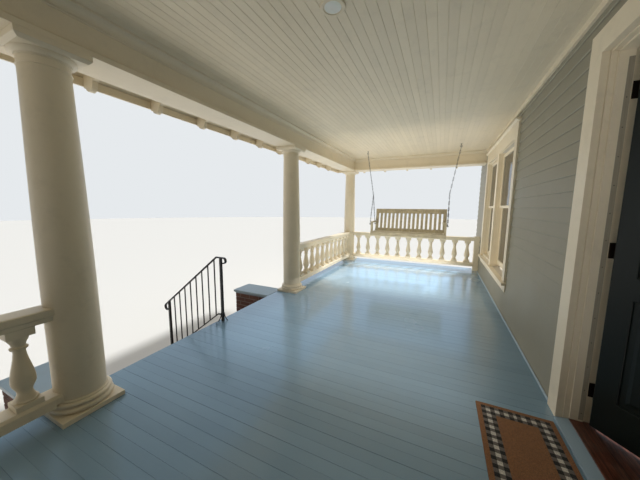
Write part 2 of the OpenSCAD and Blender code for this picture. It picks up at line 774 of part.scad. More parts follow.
module handrail_bars() color(iron_colour) place() {
    start = [-upper_post_y + iron_post_w / 2 + upper_curl_r, iron_z];
    bend = [-bend_y, iron_z];
    tip = [-lower_post_y - iron_tip, iron_top(lower_post_y + iron_tip)];
    a = 90 + iron_angle;
    iron_extrude(iron_bar_w) {
        strip(start, bend);
        translate(bend) circle(d = iron_bar_t);
        strip(bend, tip);
        arc_band(start[0], iron_z - upper_curl_r, upper_curl_r, iron_bar_t, 90, -110, 14);
        translate(tip) circle(d = iron_bar_t);
        arc_band(tip[0] - lower_curl_r * cos(a), tip[1] - lower_curl_r * sin(a), lower_curl_r, iron_bar_t, a, a + 150, 14);
    }
    low = [0, -iron_bar_drop];
    iron_extrude(picket_w) {
        strip([-upper_post_y - iron_post_w / 2, iron_z] + low, bend + low);
        translate(bend + low) circle(d = iron_bar_t);
        strip(bend + low, [-lower_post_y + iron_post_w / 2, iron_top(lower_post_y - iron_post_w / 2)] + low);
    }
}

module handrail_pickets() color(iron_colour) place() for (i = [1 : pickets]) {
    s = upper_post_y + i * (lower_post_y - upper_post_y) / (pickets + 1);
    half = picket_w / 2;
    iron_upright(s, picket_w, iron_top(s - half) + iron_half(s) - iron_bar_drop, iron_top(s + half) + iron_half(s) - iron_bar_drop);
}

// House wall

module window_hole(x) translate([x, 0, 0])
    block(-window_w / 2, window_w / 2, wall_face - 1, wall_back + 1, window_bottom, window_top);

door_hole_x0 = door_x - jamb_t;
door_hole_x1 = door_x + door_w + jamb_t;
door_hole_top = floor_z + door_h + jamb_t;

module wall_left() color(siding_colour) place() difference() {
    block(-wall_half, door_hole_x0, wall_face, wall_back, wall_bottom, wall_top);
    window_hole(-window_x);
}

module wall_right() color(siding_colour) place() difference() {
    block(door_hole_x1, wall_half, wall_face, wall_back, wall_bottom, wall_top);
    window_hole(window_x);
}

module wall_over_door() color(siding_colour) place()
    block(door_hole_x0, door_hole_x1, wall_face, wall_back, door_hole_top, wall_top);

// Windows

module at_windows() for (side = [-1, 1]) translate([side * window_x, 0, 0]) children();

// A rectangle in the wall's plane with a hole, from y0 to y1
module frame_of(x0, x1, z0, z1, left, right, bottom, top, y0, y1) difference() {
    block(x0, x1, y0, y1, z0, z1);
    block(x0 + left, x1 - right, y0 - 1, y1 + 1, z0 + bottom, z1 - top);
}

module window_casings() color(trim_colour) place() at_windows() {
    x = window_w / 2 + casing_w;
    y0 = wall_face - casing_t - 15;
    leg_x = window_w / 2;
    top = window_top + head_casing_h;
    difference() {
        block(-x, x, y0, wall_face, window_bottom - 1, top);
        both_sides() block(mullion_w / 2, leg_x, y0 - 1, wall_face + 1, window_bottom - 2, window_top);
    }
    along_x(-x - 25, x + 25) polygon([
        [wall_face, top], [wall_face, top + 34], [y0 - 34, top + 26], [y0 - 34, top + 12], [y0 - 12, top]
    ]);
}

module window_sills() color(trim_colour) place() at_windows() {
    x = window_w / 2 + casing_w + 25;
    z = window_bottom;
    along_x(-x, x) polygon([
        [wall_face, z - 1], [wall_face - 70, z - 8], [wall_face - 70, z - window_sill_h], [wall_face, z - window_sill_h]
    ]);
    block(-x + 25, x - 25, wall_face - casing_t, wall_face, z - window_sill_h - apron_h, z - window_sill_h);
}

module window_frames() color(trim_colour) place() at_windows() {
    w = window_w / 2;
    frame_of(-w, -mullion_w / 2 + mullion_w, window_bottom, window_top, frame_t, mullion_w, sill_h, frame_t, wall_face, wall_face + frame_depth);
}

// One sash: its lower and upper rails are given
module sash(z0, z1, bottom, top, y) both_sides()
    frame_of(mullion_w / 2, mullion_w / 2 + sash_w, z0, z1, stile_w, stile_w, bottom, top, y, y + sash_t);

module upper_sashes() color(trim_colour) place() at_windows()
    sash(floor_z + meeting_z - meeting_h / 2, sash_top, meeting_h, stile_w, upper_sash_y);

module lower_sashes() color(trim_colour) place() at_windows()
    sash(sash_bottom, floor_z + meeting_z + meeting_h / 2, 80, meeting_h, lower_sash_y);

module window_glass() color("#9fb3bd", 0.5) place() at_windows() both_sides() {
    x0 = mullion_w / 2 + stile_w;
    x1 = mullion_w / 2 + sash_w - stile_w;
    block(x0, x1, upper_sash_y + sash_t / 2 - 2, upper_sash_y + sash_t / 2 + 2,
        floor_z + meeting_z + meeting_h / 2, sash_top - stile_w);
    block(x0, x1, lower_sash_y + sash_t / 2 - 2, lower_sash_y + sash_t / 2 + 2,
        sash_bottom + 80, floor_z + meeting_z - meeting_h / 2);
}

// Doorway

module door_casing() color(trim_colour) place() {
    y0 = wall_face - casing_t - 15;
    x0 = door_x - casing_reveal;
    x1 = door_x + door_w + casing_reveal;
    top = floor_z + door_h + casing_reveal;
    w = door_casing_w;
    difference() {
        block(x0 - w, x1 + w, y0, wall_face, floor_z, top + w);
        block(x0, x1, y0 - 1, wall_face + 1, floor_z - 1, top);
    }
}

module door_frame() color(trim_colour) place() {
    stop = 12;
    stop_y = leaf_outer - leaf_gap;
    difference() {
        block(door_hole_x0, door_hole_x1, wall_face, wall_back, wall_bottom, door_hole_top);
        block(door_x, door_x + door_w, wall_face - 1, wall_back + 1, wall_bottom - 1, floor_z + door_h);
    }
    difference() {
        block(door_x, door_x + door_w, wall_face + 30, stop_y, floor_z + threshold_h, floor_z + door_h);
        block(door_x + stop, door_x + door_w - stop, wall_face, wall_back, floor_z, floor_z + door_h - stop);
    }
}

module door_sill() color(floor_colour) place() along_x(door_x, door_x + door_w) polygon([
    [-30, floor_z], [wall_face, floor_z], [wall_face, wall_bottom], [wall_face + 30, wall_bottom],
    [wall_face + 30, floor_z + 26], [-30, floor_z + 16]
]);

// Threshold with the first boards of the hall floor behind it
module door_threshold() color("#7a4632") place() {
    block(door_x, door_x + door_w, wall_face + 30, wall_back, wall_bottom, floor_z + threshold_h);
    block(door_hole_x0 + hall_gap, door_hole_x1 - hall_gap, wall_back, wall_back + hall_depth,
        floor_z + hall_top - hall_t, floor_z + hall_top);
}

module opened() translate([hinge_pin_x, hinge_pin_y, 0]) rotate([0, 0, door_open]) translate([-hinge_pin_x, -hinge_pin_y, 0]) children();

panel_cols = 2;
leaf_stile = 115;
leaf_mid = 100;
panel_w = (leaf_w - 2 * leaf_stile - leaf_mid) / 2;
// Panels from the bottom up, as [bottom, height], in shares of the leaf's height
panel_rows = [[0.10, 0.28], [0.44, 0.36], [0.85, 0.10]];

module at_panels() for (row = panel_rows, col = [0, 1])
    translate([leaf_x + leaf_stile + col * (panel_w + leaf_mid), 0, leaf_z + row[0] * leaf_h])
        panel_here(row[1] * leaf_h) children();

module panel_here(h) { $panel_h = h; children(); }

module door_leaf() color(door_colour) place() opened() difference() {
    block(leaf_x, leaf_x + leaf_w, leaf_outer, leaf_inner, leaf_z, leaf_top);
    at_panels() block(0, panel_w, leaf_outer - 1, leaf_inner + 1, 0, $panel_h);
}

panel_sunk = 12;
field_margin = 28;
field_slope = 22;
field_h = 8;

// Panels in the leaf's openings, each with a raised field on both faces
module door_panels() color(door_colour) place() opened() at_panels() {
    y = leaf_outer + panel_sunk;
    y1 = leaf_inner - panel_sunk;
    block(0, panel_w, y, y1, 0, $panel_h);
    translate([panel_w / 2, y, $panel_h / 2]) rotate([90, 0, 0]) raised_field();
    translate([panel_w / 2, y1, $panel_h / 2]) rotate([-90, 0, 0]) raised_field();
}

module raised_field() {
    foot = [panel_w / 2 - field_margin, $panel_h / 2 - field_margin];
    head = foot - [field_slope, field_slope];
    polyhedron(
        [[-foot[0], -foot[1], 0], [foot[0], -foot[1], 0], [foot[0], foot[1], 0], [-foot[0], foot[1], 0],
         [-head[0], -head[1], field_h], [head[0], -head[1], field_h], [head[0], head[1], field_h], [-head[0], head[1], field_h]],
        [[0, 1, 2, 3], [7, 6, 5, 4], [4, 5, 1, 0], [5, 6, 2, 1], [6, 7, 3, 2], [7, 4, 0, 3]]
    );
}

module door_handle() color(brass_colour) place() opened() {
    x = leaf_x + leaf_w - 65;
    z = floor_z + knob_z;
    for (y = [leaf_outer, leaf_inner]) translate([x, y, z]) rotate([y == leaf_outer ? 90 : -90, 0, 0])
        rotate_extrude() polygon(concat([[0, 0], [28, 0], [28, 4], [12, 8], [12, 30]], arc(0, 46, 26, -55, 90, 8)));
}

// Butt hinges: a plate on the frame with two knuckles and the pin, and a plate
// on the leaf with the knuckle between them
module hinge_plate(x0, x1, knuckles) {
    block(x0, x1, leaf_inner - 40, leaf_inner, 0, hinge_h);
    for (k = knuckles) {
        block(x0, x1, leaf_inner, hinge_pin_y, k[0], k[1]);
        translate([hinge_pin_x, hinge_pin_y, k[0]]) cylinder(r = knuckle_r, h = k[1] - k[0]);
    }
}

module door_hinge_pins() color(brass_colour) place() for (z = hinge_z) translate([0, 0, z]) {
    difference() {
        hinge_plate(door_x, door_x + 1.5, [[0, hinge_h / 3], [hinge_h * 2 / 3, hinge_h]]);
        block(door_x - 20, door_x, leaf_inner - 50, wall_back, -1, hinge_h + 1);
    }
    translate([hinge_pin_x, hinge_pin_y, 0]) cylinder(r = pin_r, h = hinge_h);
}

module door_hinges() color(brass_colour) place() opened() for (z = hinge_z) translate([0, 0, z]) difference() {
    hinge_plate(leaf_x - 1.5, leaf_x, [[hinge_h / 3 + 0.4, hinge_h * 2 / 3 - 0.4]]);
    translate([hinge_pin_x, hinge_pin_y, -1]) cylinder(r = pin_r + pin_gap, h = hinge_h + 2);
}

// Swing, hung from the ceiling and facing along +X

module ring(r) rotate_extrude($fn = 32) translate([r, 0]) circle(r = eye_wire, $fn = 16);

module swing_hooks() color(iron_colour) place() for (side = [-1, 1])
    translate([-swing_x, -swing_y + side * hook_span / 2, hook_z]) {
        rotate([0, 90, 0]) ring(hook_r);
        translate([0, 0, hook_r]) cylinder(r = eye_wire, h = ceiling_bottom - hook_z - hook_r - 3);
        translate([0, 0, ceiling_bottom - hook_z - 3]) cylinder(r = 18, h = 3);
    }

module swing_place() place() translate([0, -swing_y, 0]) children();

// Seat frame: an outer frame and a middle rail under the slats
module swing_frame() color(wood_colour) swing_place() difference() {
    block(seat_back, seat_front, -side_y, side_y, swing_bottom, slat_z);
    for (side = [-1, 1]) block(seat_back + seat_rail_w, seat_front - seat_rail_w,
        side > 0 ? seat_rail_w / 2 : seat_rail_w - side_y, side > 0 ? side_y - seat_rail_w : -seat_rail_w / 2,
        swing_bottom - 1, slat_z + 1);
}

slat_gap = 14;
slat_w = (seat_d - (seat_slats - 1) * slat_gap) / seat_slats;

module swing_seat() color(wood_colour) swing_place() for (i = [0 : seat_slats - 1])
    translate([seat_back + i * (slat_w + slat_gap), -side_y, slat_z]) cube([slat_w, seat_w, slat_t]);

// The back's own frame: X out of its face, Z up its slope
module leaned() translate([seat_back, 0, seat_top]) rotate([0, -back_lean, 0]) children();

back_top_h = 105;
back_low_h = 60;
support_w = 45;
support_t = 38;
back_pitch = seat_w / back_slats;

// Supports behind the seat, seen from the back as three upright posts
module swing_supports() color(wood_colour) swing_place() difference() {
    leaned() for (y = [-side_y, -support_w / 2, side_y - support_w])
        block(-support_t, 0, y, y + support_w, -seat_top + swing_bottom, back_h - 25);
    block(seat_back, seat_front, -side_y - 1, side_y + 1, swing_bottom - 60, seat_top);
}

module swing_back() color(wood_colour) swing_place() difference() {
    leaned() {
        block(0, slat_t + 6, -side_y, side_y, -20, back_low_h);
        block(0, slat_t + 6, -side_y, side_y, back_h - back_top_h, back_h);
        for (i = [0 : back_slats - 1]) {
            y = -side_y + (i + 0.5) * back_pitch;
            block(0, slat_t, y - 26, y + 26, back_low_h, back_h - back_top_h);
        }
    }
    block(seat_back - 60, seat_front, -side_y - 1, side_y + 1, swing_bottom, seat_top);
}

post_x = seat_front - 70;

module swing_arms() color(wood_colour) swing_place() difference() {
    for (side = [-1, 1]) {
        inner = side > 0 ? side_y - arm_w : -side_y;
        outer = side > 0 ? side_y - support_w : -side_y;
        block(seat_back - 120, seat_front + 15 - arm_w / 2, inner, inner + arm_w, arm_top - 22, arm_top);
        translate([seat_front + 15 - arm_w / 2, inner + arm_w / 2, arm_top - 22]) cylinder(d = arm_w, h = 22);
        block(post_x, post_x + support_w, outer, outer + support_w, seat_top, arm_top - 22);
    }
    leaned() block(-300, slat_t, -side_y - 1, side_y + 1, 0, back_h);
}

// One chain link, drawn in the plane of X and Z, of the given length between
// the middles of its two end curves
module chain_link(reach) {
    straight = reach / 2 - link_r;
    for (side = [-1, 1]) translate([side * link_r, 0, -straight]) cylinder(r = chain_wire, h = 2 * straight, $fn = 16);
    for (flip = [0, 1]) mirror([0, 0, flip]) translate([0, 0, straight]) rotate([90, 0, 0])
        rotate_extrude(angle = 180, $fn = 24) translate([link_r, 0]) circle(r = chain_wire, $fn = 16);
}

// Links from the bar at a down to the bar at b, each turned a quarter from the last
module chain(a, b, twist) {
    d = b - a;
    span = norm(d);
    up = -d / span;
    count = 2 * round(span / chain_pitch / 2);
    step = (span + 2 * eye_wire + chain_gap) / count;
    reach = step + 2 * chain_wire + chain_gap;
    for (i = [0 : count - 1]) {
        s = reach / 2 - eye_wire - chain_wire - chain_gap + i * step;
        translate(a - up * s) rotate(a = acos(up[2]), v = [-up[1], up[0], 0]) rotate([0, 0, twist + 90 * (i % 2)])
            chain_link(reach);
    }
}

// Screw eye in the side of the swing, its ring standing out sideways
module side_eye(x, z, side) translate([x, side * side_y, z]) {
    rotate([-90 * side, 0, 0]) cylinder(r = eye_wire, h = eye_shank);
    translate([0, side * (eye_shank + eye_r), 0]) rotate([0, 90, 0]) ring(eye_r);
}

// The chains of one side: one from the hook to a ring, and two on from the ring
// to the swing's front and back
module swing_chain(side) {
    hook = [-swing_x, side * hook_span / 2, hook_z - hook_r];
    knot = [-swing_x - 20, side * chain_y, split_z];
    lean_z = arm_z - 70;
    front = [post_x + support_w / 2, arm_top - 60];
    back = [seat_back - support_t / 2 * cos(back_lean) - lean_z * sin(back_lean),
        seat_top - support_t / 2 * sin(back_lean) + lean_z * cos(back_lean)];
    chain(hook, knot + [0, 0, split_r], 0);
    translate(knot) rotate([90, 0, 0]) ring(split_r);
    for (eye = [front, back]) {
        top = [eye[0], side * chain_y, eye[1] + eye_r];
        chain(knot + split_r * (top - knot) / norm(top - knot), top, 90);
        side_eye(eye[0], eye[1], side);
    }
}

module swing_chain_house() color(iron_colour) swing_place() swing_chain(1);
module swing_chain_street() color(iron_colour) swing_place() swing_chain(-1);

module door_mat() color("#b08d5f") place()
    block(door_x + 60, door_x + 60 + mat_w, -50 - mat_d, -50, floor_z, floor_z + mat_t);

foundation_front();
foundation_ends();
foundation_house();
band_boards();
floor_deck();
step_masonry();
step_treads();
cheek_walls();
cheek_caps();
column_plinths();
column_bases();
column_shafts();
column_capitals();
beam_front();
beam_ends();
beam_mouldings();
ceiling();
ceiling_light();
rafter_tails_front();
rafter_tails_ends();
edge_boards();
roof_front();
roof_ends();
railing_top_rails();
railing_bottom_rails();
railing_wall_posts();
balusters_front_left();
balusters_front_right();
balusters_left_end();
balusters_right_end();
handrail_posts();
handrail_bars();
handrail_pickets();
wall_left();
wall_right();
wall_over_door();
window_casings();
window_sills();
window_frames();
upper_sashes();
lower_sashes();
window_glass();
door_casing();
door_frame();
door_sill();
door_threshold();
door_hinge_pins();
door_leaf();
door_panels();
door_handle();
door_hinges();
swing_hooks();
swing_frame();
swing_seat();
swing_supports();
swing_back();
swing_arms();
swing_chain_house();
swing_chain_street();
door_mat();
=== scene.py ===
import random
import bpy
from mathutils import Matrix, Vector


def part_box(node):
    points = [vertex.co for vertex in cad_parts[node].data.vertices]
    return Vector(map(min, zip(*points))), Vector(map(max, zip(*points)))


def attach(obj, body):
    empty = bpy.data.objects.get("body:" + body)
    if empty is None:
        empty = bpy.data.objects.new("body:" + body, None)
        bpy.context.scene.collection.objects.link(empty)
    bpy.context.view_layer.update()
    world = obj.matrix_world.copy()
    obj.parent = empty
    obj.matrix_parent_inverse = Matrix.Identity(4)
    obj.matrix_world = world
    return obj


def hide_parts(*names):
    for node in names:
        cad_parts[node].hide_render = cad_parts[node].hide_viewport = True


bl_info = {
    "name": "Front Porch",
    "version": (1, 0, 0),
    "blender": (4, 5, 0),
    "location": "View3D > Sidebar > Porch",
    "description": "Boards, bricks, turnings and finishes for the frame of a house porch",
    "category": "Object",
}

from math import atan, cos, pi, radians, sin, sqrt

import bpy
from bpy.props import FloatProperty, PointerProperty, StringProperty
from bpy.types import Operator, Panel, PropertyGroup
from mathutils import Matrix, Vector

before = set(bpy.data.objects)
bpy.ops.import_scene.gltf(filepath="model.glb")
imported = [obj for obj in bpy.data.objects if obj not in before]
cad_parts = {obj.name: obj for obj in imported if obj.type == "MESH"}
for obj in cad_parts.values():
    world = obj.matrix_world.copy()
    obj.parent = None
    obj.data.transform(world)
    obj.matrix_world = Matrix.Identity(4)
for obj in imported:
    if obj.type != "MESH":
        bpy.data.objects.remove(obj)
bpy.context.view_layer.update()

MERGE = 0.00002
FLAT = radians(0.6)
SHARP = radians(30)
CREASE = radians(32)
X, Y, Z = Vector((1, 0, 0)), Vector((0, 1, 0)), Vector((0, 0, 1))


# Sizes and colours

class PorchBoards(PropertyGroup):
    siding_lap: FloatProperty(
        name="Siding lap", description="Height of siding that shows on each board",
        default=0.117, unit="LENGTH")
    siding_butt: FloatProperty(
        name="Siding butt", description="Thickness of a siding board at its lower edge",
        default=0.018, unit="LENGTH")
    siding_feather: FloatProperty(
        name="Siding feather", description="Thickness of a siding board where the next one covers it",
        default=0.006, unit="LENGTH")
    floor_board: FloatProperty(
        name="Floor board", description="Width of a floor board", default=0.083, unit="LENGTH")
    ceiling_board: FloatProperty(
        name="Ceiling board", description="Width of a beaded ceiling board", default=0.069, unit="LENGTH")
    ceiling_groove: FloatProperty(
        name="Ceiling groove", description="Depth of the groove between two ceiling boards", default=0.003,
        unit="LENGTH")
    shoe: FloatProperty(
        name="Shoe moulding", description="Size of the quarter round where siding meets floor", default=0.012,
        unit="LENGTH")
    eased: FloatProperty(
        name="Eased edge", description="Rounding of a painted board's edges", default=0.003, unit="LENGTH")


class PorchMasonry(PropertyGroup):
    brick_length: FloatProperty(
        name="Brick length", description="Length of a brick", default=0.194, unit="LENGTH")
    brick_width: FloatProperty(
        name="Brick width", description="Width of a brick", default=0.092, unit="LENGTH")
    brick_height: FloatProperty(
        name="Brick height", description="Height of a brick", default=0.057, unit="LENGTH")
    joint: FloatProperty(name="Joint", description="Width of a mortar joint", default=0.010, unit="LENGTH")
    proud: FloatProperty(
        name="Proud", description="How far a brick's face stands out of the mortar",
        default=0.004, unit="LENGTH")


class PorchRoofing(PropertyGroup):
    tab_width: FloatProperty(
        name="Tab width", description="Width of a shingle's tab", default=0.305, unit="LENGTH")
    exposure: FloatProperty(
        name="Exposure", description="Length of a shingle that shows, up the slope",
        default=0.143, unit="LENGTH")
    butt: FloatProperty(
        name="Butt", description="Thickness of a shingle's lower edge", default=0.007, unit="LENGTH")


class PorchPaints(PropertyGroup):
    trim: StringProperty(
        name="Trim paint", description="Cream paint of columns, rails and ceiling", default="#E8DCC3")
    floor: StringProperty(
        name="Floor paint", description="Blue-grey enamel of the floor and caps", default="#7D9DB4")
    siding: StringProperty(
        name="Siding paint", description="Sage grey paint of the siding", default="#918D7C")
    door: StringProperty(
        name="Door paint", description="Near-black green enamel of the door", default="#101814")
    brick: StringProperty(
        name="Brick", description="Fired clay of the steps and foundation", default="#7B564C")
    mortar: StringProperty(name="Mortar", description="Lime mortar between bricks", default="#9B9088")
    shingle: StringProperty(name="Shingle", description="Mineral granules of the roof", default="#5A5856")
    iron: StringProperty(name="Iron", description="Black paint of the wrought iron", default="#161618")
    swing_wood: StringProperty(
        name="Swing wood", description="Weathered timber of the swing", default="#D8D0B8")
    coir: StringProperty(name="Coir", description="Coconut fibre of the door mat", default="#8C5F38")


# Modelling steps

def only(piece):
    """Selects one object and makes it active"""
    bpy.ops.object.select_all(action="DESELECT")
    piece.select_set(True)
    bpy.context.view_layer.objects.active = piece


def settled(name):
    """The primitive that was just added, named, with its place in its mesh"""
    piece = bpy.context.active_object
    piece.name = piece.data.name = name
    bpy.ops.object.transform_apply(location=True, rotation=True, scale=True)
    return piece


def block(name, low, high):
    """A box from its lowest to its highest corner"""
    low, high = Vector(low), Vector(high)
    bpy.ops.object.select_all(action="DESELECT")
    bpy.ops.mesh.primitive_cube_add(size=1, location=(low + high) / 2, scale=high - low)
    return settled(name)


def shaped(piece, kind, **settings):
    """Applies one modifier to a piece"""
    only(piece)
    modifier = piece.modifiers.new(kind, kind)
    for name, value in settings.items():
        setattr(modifier, name, value)
    bpy.ops.object.modifier_apply(modifier=modifier.name)
    return piece


def rounded(piece, width, segments=2):
    """Bevels a piece's sharp edges"""
    return shaped(piece, "BEVEL", width=width, segments=segments, limit_method="ANGLE", angle_limit=SHARP)


def repeated(piece, count, step):
    """Copies a piece count times, each a step on from the last"""
    return shaped(
        piece, "ARRAY", count=count, use_relative_offset=False, use_constant_offset=True,
        constant_offset_displace=step)


def edit(piece, test=None, kind="VERT"):
    """Opens a piece in edit mode with the vertices, edges or faces that pass the test selected"""
    only(piece)
    bpy.ops.object.mode_set(mode="EDIT")
    bpy.ops.mesh.select_mode(type=kind)
    bpy.ops.mesh.select_all(action="SELECT" if test is None else "DESELECT")
    if test is not None:
        bpy.ops.object.mode_set(mode="OBJECT")
        mesh = piece.data
        for part in {"VERT": mesh.vertices, "EDGE": mesh.edges, "FACE": mesh.polygons}[kind]:
            part.select = test(part)
        bpy.ops.object.mode_set(mode="EDIT")


def done():
    bpy.ops.object.mode_set(mode="OBJECT")


def shifted(piece, test, move):
    """Moves the corners whose place passes the test"""
    edit(piece, lambda v: test(v.co))
    bpy.ops.transform.translate(value=move)
    done()


def bevelled(piece, test, offset, segments=1):
    """Bevels the edges whose two ends pass the test"""
    edit(piece, lambda e: test(*(piece.data.vertices[i].co for i in e.vertices)), kind="EDGE")
    bpy.ops.mesh.bevel(offset=offset, segments=segments)
    done()
    return piece


def joined(name, pieces):
    """Joins pieces into one object"""
    bpy.ops.object.select_all(action="DESELECT")
    for piece in pieces:
        piece.select_set(True)
    bpy.context.view_layer.objects.active = pieces[0]
    if len(pieces) > 1:
        bpy.ops.object.join()
    pieces[0].name = pieces[0].data.name = name
    return pieces[0]


def copied(piece, name):
    """A copy with a mesh of its own"""
    only(piece)
    bpy.ops.object.duplicate(linked=False)
    twin = bpy.context.active_object
    twin.name = twin.data.name = name
    return twin


def placed(piece, turn=(0, 0, 0), move=(0, 0, 0)):
    """Turns a piece about the origin, moves it, and keeps both in its mesh"""
    only(piece)
    piece.rotation_euler = turn
    piece.location = move
    bpy.ops.object.transform_apply(location=True, rotation=True, scale=True)
    return piece


def cut(piece, place, keep):
    """Cuts a piece at a plane through place, and closes the part that lies behind keep"""
    edit(piece)
    bpy.ops.mesh.bisect(plane_co=place, plane_no=keep, use_fill=True, clear_outer=True)
    done()
    return piece


def cropped(piece, low, high):
    """The part of a piece inside a box"""
    for axis, direction in enumerate((X, Y, Z)):
        reach = [v.co[axis] for v in piece.data.vertices]
        if not reach:
            return piece
        if min(reach) < low[axis] - MERGE:
            cut(piece, low, -direction)
        if max(reach) > high[axis] + MERGE:
            cut(piece, high, direction)
    return piece


def toned(piece, faces_each, seed):
    """Gives each board, brick or tab of an array a tone of its own, kept with the mesh"""
    draw = random.Random(seed)
    faces = len(piece.data.polygons)
    tones = [draw.random() for _ in range(faces // faces_each + 1)]
    layer = piece.data.attributes.new("tone", "FLOAT", "FACE")
    layer.data.foreach_set("value", [tones[i // faces_each] for i in range(faces)])
    return piece


def smooth(piece, angle=CREASE):
    only(piece)
    bpy.ops.object.shade_smooth_by_angle(angle=angle)
    return piece


def crisp(piece):
    """Smooth shading over eased edges that leaves the broad faces flat"""
    return shaped(smooth(piece), "WEIGHTED_NORMAL", keep_sharp=True)


def turned(name, profile, sides, centre=(0, 0)):
    """A turning: a disc drawn up ring by ring along the profile, as (radius, height)"""
    radius, height = profile[0]
    bpy.ops.object.select_all(action="DESELECT")
    bpy.ops.mesh.primitive_circle_add(
        vertices=sides, radius=radius, fill_type="NGON", location=(*centre, height))
    piece = settled(name)
    edit(piece)
    for (r0, z0), (r1, z1) in zip(profile, profile[1:]):
        bpy.ops.mesh.extrude_region_move(TRANSFORM_OT_translate={"value": (0, 0, z1 - z0)})
        if r1 != r0:
            bpy.ops.transform.resize(value=(r1 / r0, r1 / r0, 1), center_override=(*centre, z1))
    bpy.ops.mesh.select_all(action="SELECT")
    bpy.ops.mesh.normals_make_consistent(inside=False)
    done()
    return smooth(piece)


def eases(z0, r0, z1, r1, steps):
    """Rings of a smooth change of radius between two heights"""
    return [
        (r0 + (r1 - r0) * (1 - cos(pi * i / steps)) / 2, z0 + (z1 - z0) * i / steps)
        for i in range(1, steps + 1)
    ]


def bulge(centre_r, centre_z, r, start, end, steps):
    """Rings of a round moulding, from angle start to end in degrees"""
    angles = [radians(start + (end - start) * i / steps) for i in range(steps + 1)]
    return [(centre_r + r * cos(a), centre_z + r * sin(a)) for a in angles]


def solids(node):
    """(lowest, highest corner) of each solid of a node, from left to right"""
    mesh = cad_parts[node].data
    places = [tuple(round(c, 5) for c in v.co) for v in mesh.vertices]
    parent = {p: p for p in places}

    def top(p):
        while parent[p] != p:
            parent[p] = parent[parent[p]]
            p = parent[p]
        return p

    for face in mesh.polygons:
        first, *others = (places[i] for i in face.vertices)
        for other in others:
            parent[top(other)] = top(first)
    groups = {}
    for p in parent:
        groups.setdefault(top(p), []).append(p)
    boxes = [(Vector(map(min, zip(*group))), Vector(map(max, zip(*group)))) for group in groups.values()]
    return sorted(boxes, key=lambda b: tuple(b[0]))


def eased_copy(node, name, width, segments=2):
    """A node's own mesh, merged, with its edges eased"""
    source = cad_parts[node]
    piece = bpy.data.objects.new(name, source.data.copy())
    piece.data.name = name
    bpy.context.scene.collection.objects.link(piece)
    edit(piece)
    bpy.ops.mesh.remove_doubles(threshold=MERGE)
    bpy.ops.mesh.dissolve_limited(angle_limit=FLAT)
    done()
    bpy.ops.mesh.customdata_custom_splitnormals_clear()
    if not width:
        return smooth(piece)
    return crisp(rounded(piece, width, segments))


def finished(piece, material, body="root", stands_for=()):
    """Gives a piece its material, its body and the nodes it stands for"""
    piece.data.materials.clear()
    piece.data.materials.append(material)
    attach(piece, body)
    if stands_for:
        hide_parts(*stands_for)
    return piece


def dressed(rows, material, body="root", segments=2):
    """Stands an eased copy in for each node of the rows, as (node, name, width of the easing)"""
    for node, name, width in rows:
        finished(eased_copy(node, name, width, segments), material, body, [node])


def surfaced(nodes, material):
    """Gives nodes whose own mesh shows a material"""
    for node in nodes:
        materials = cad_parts[node].data.materials
        materials.clear()
        materials.append(material)


# Materials

def linear(code):
    """An sRGB hex value as the linear colour that a shader takes"""
    values = [int(code[i:i + 2], 16) / 255 for i in (1, 3, 5)]
    return tuple(v / 12.92 if v <= 0.04045 else ((v + 0.055) / 1.055) ** 2.4 for v in values) + (1.0,)


def shade(code, factor):
    """A hex colour made lighter or darker by a factor, as a linear colour"""
    return tuple(min(1.0, v * factor) for v in linear(code)[:3]) + (1.0,)


def add(tree, kind, inputs=None, give=0, **settings):
    """Adds a node with its settings, its values and the links into it, and gives the output asked
    for, or all of them for None. A hex colour is made linear."""
    made = tree.nodes.new("ShaderNode" + kind)
    for name, value in settings.items():
        setattr(made, name, value)
    for name, value in (inputs or {}).items():
        if isinstance(value, bpy.types.NodeSocket):
            tree.links.new(value, made.inputs[name])
        else:
            made.inputs[name].default_value = linear(value) if isinstance(value, str) else value
    return made.outputs if give is None else made.outputs[give]


def new_tree(name):
    material = bpy.data.materials.new(name)
    material.use_nodes = True
    material.node_tree.nodes.clear()
    return material, material.node_tree


def patterned(name):
    """A new material, its tree and the object coordinates that its patterns follow"""
    material, tree = new_tree(name)
    return material, tree, add(tree, "TexCoord", give="Object")


def close(material, shader):
    add(material.node_tree, "OutputMaterial", {"Surface": shader}, None)
    return material


def per_mm(size):
    """Scale of a pattern whose features are that many millimetres across"""
    return 1000 / size


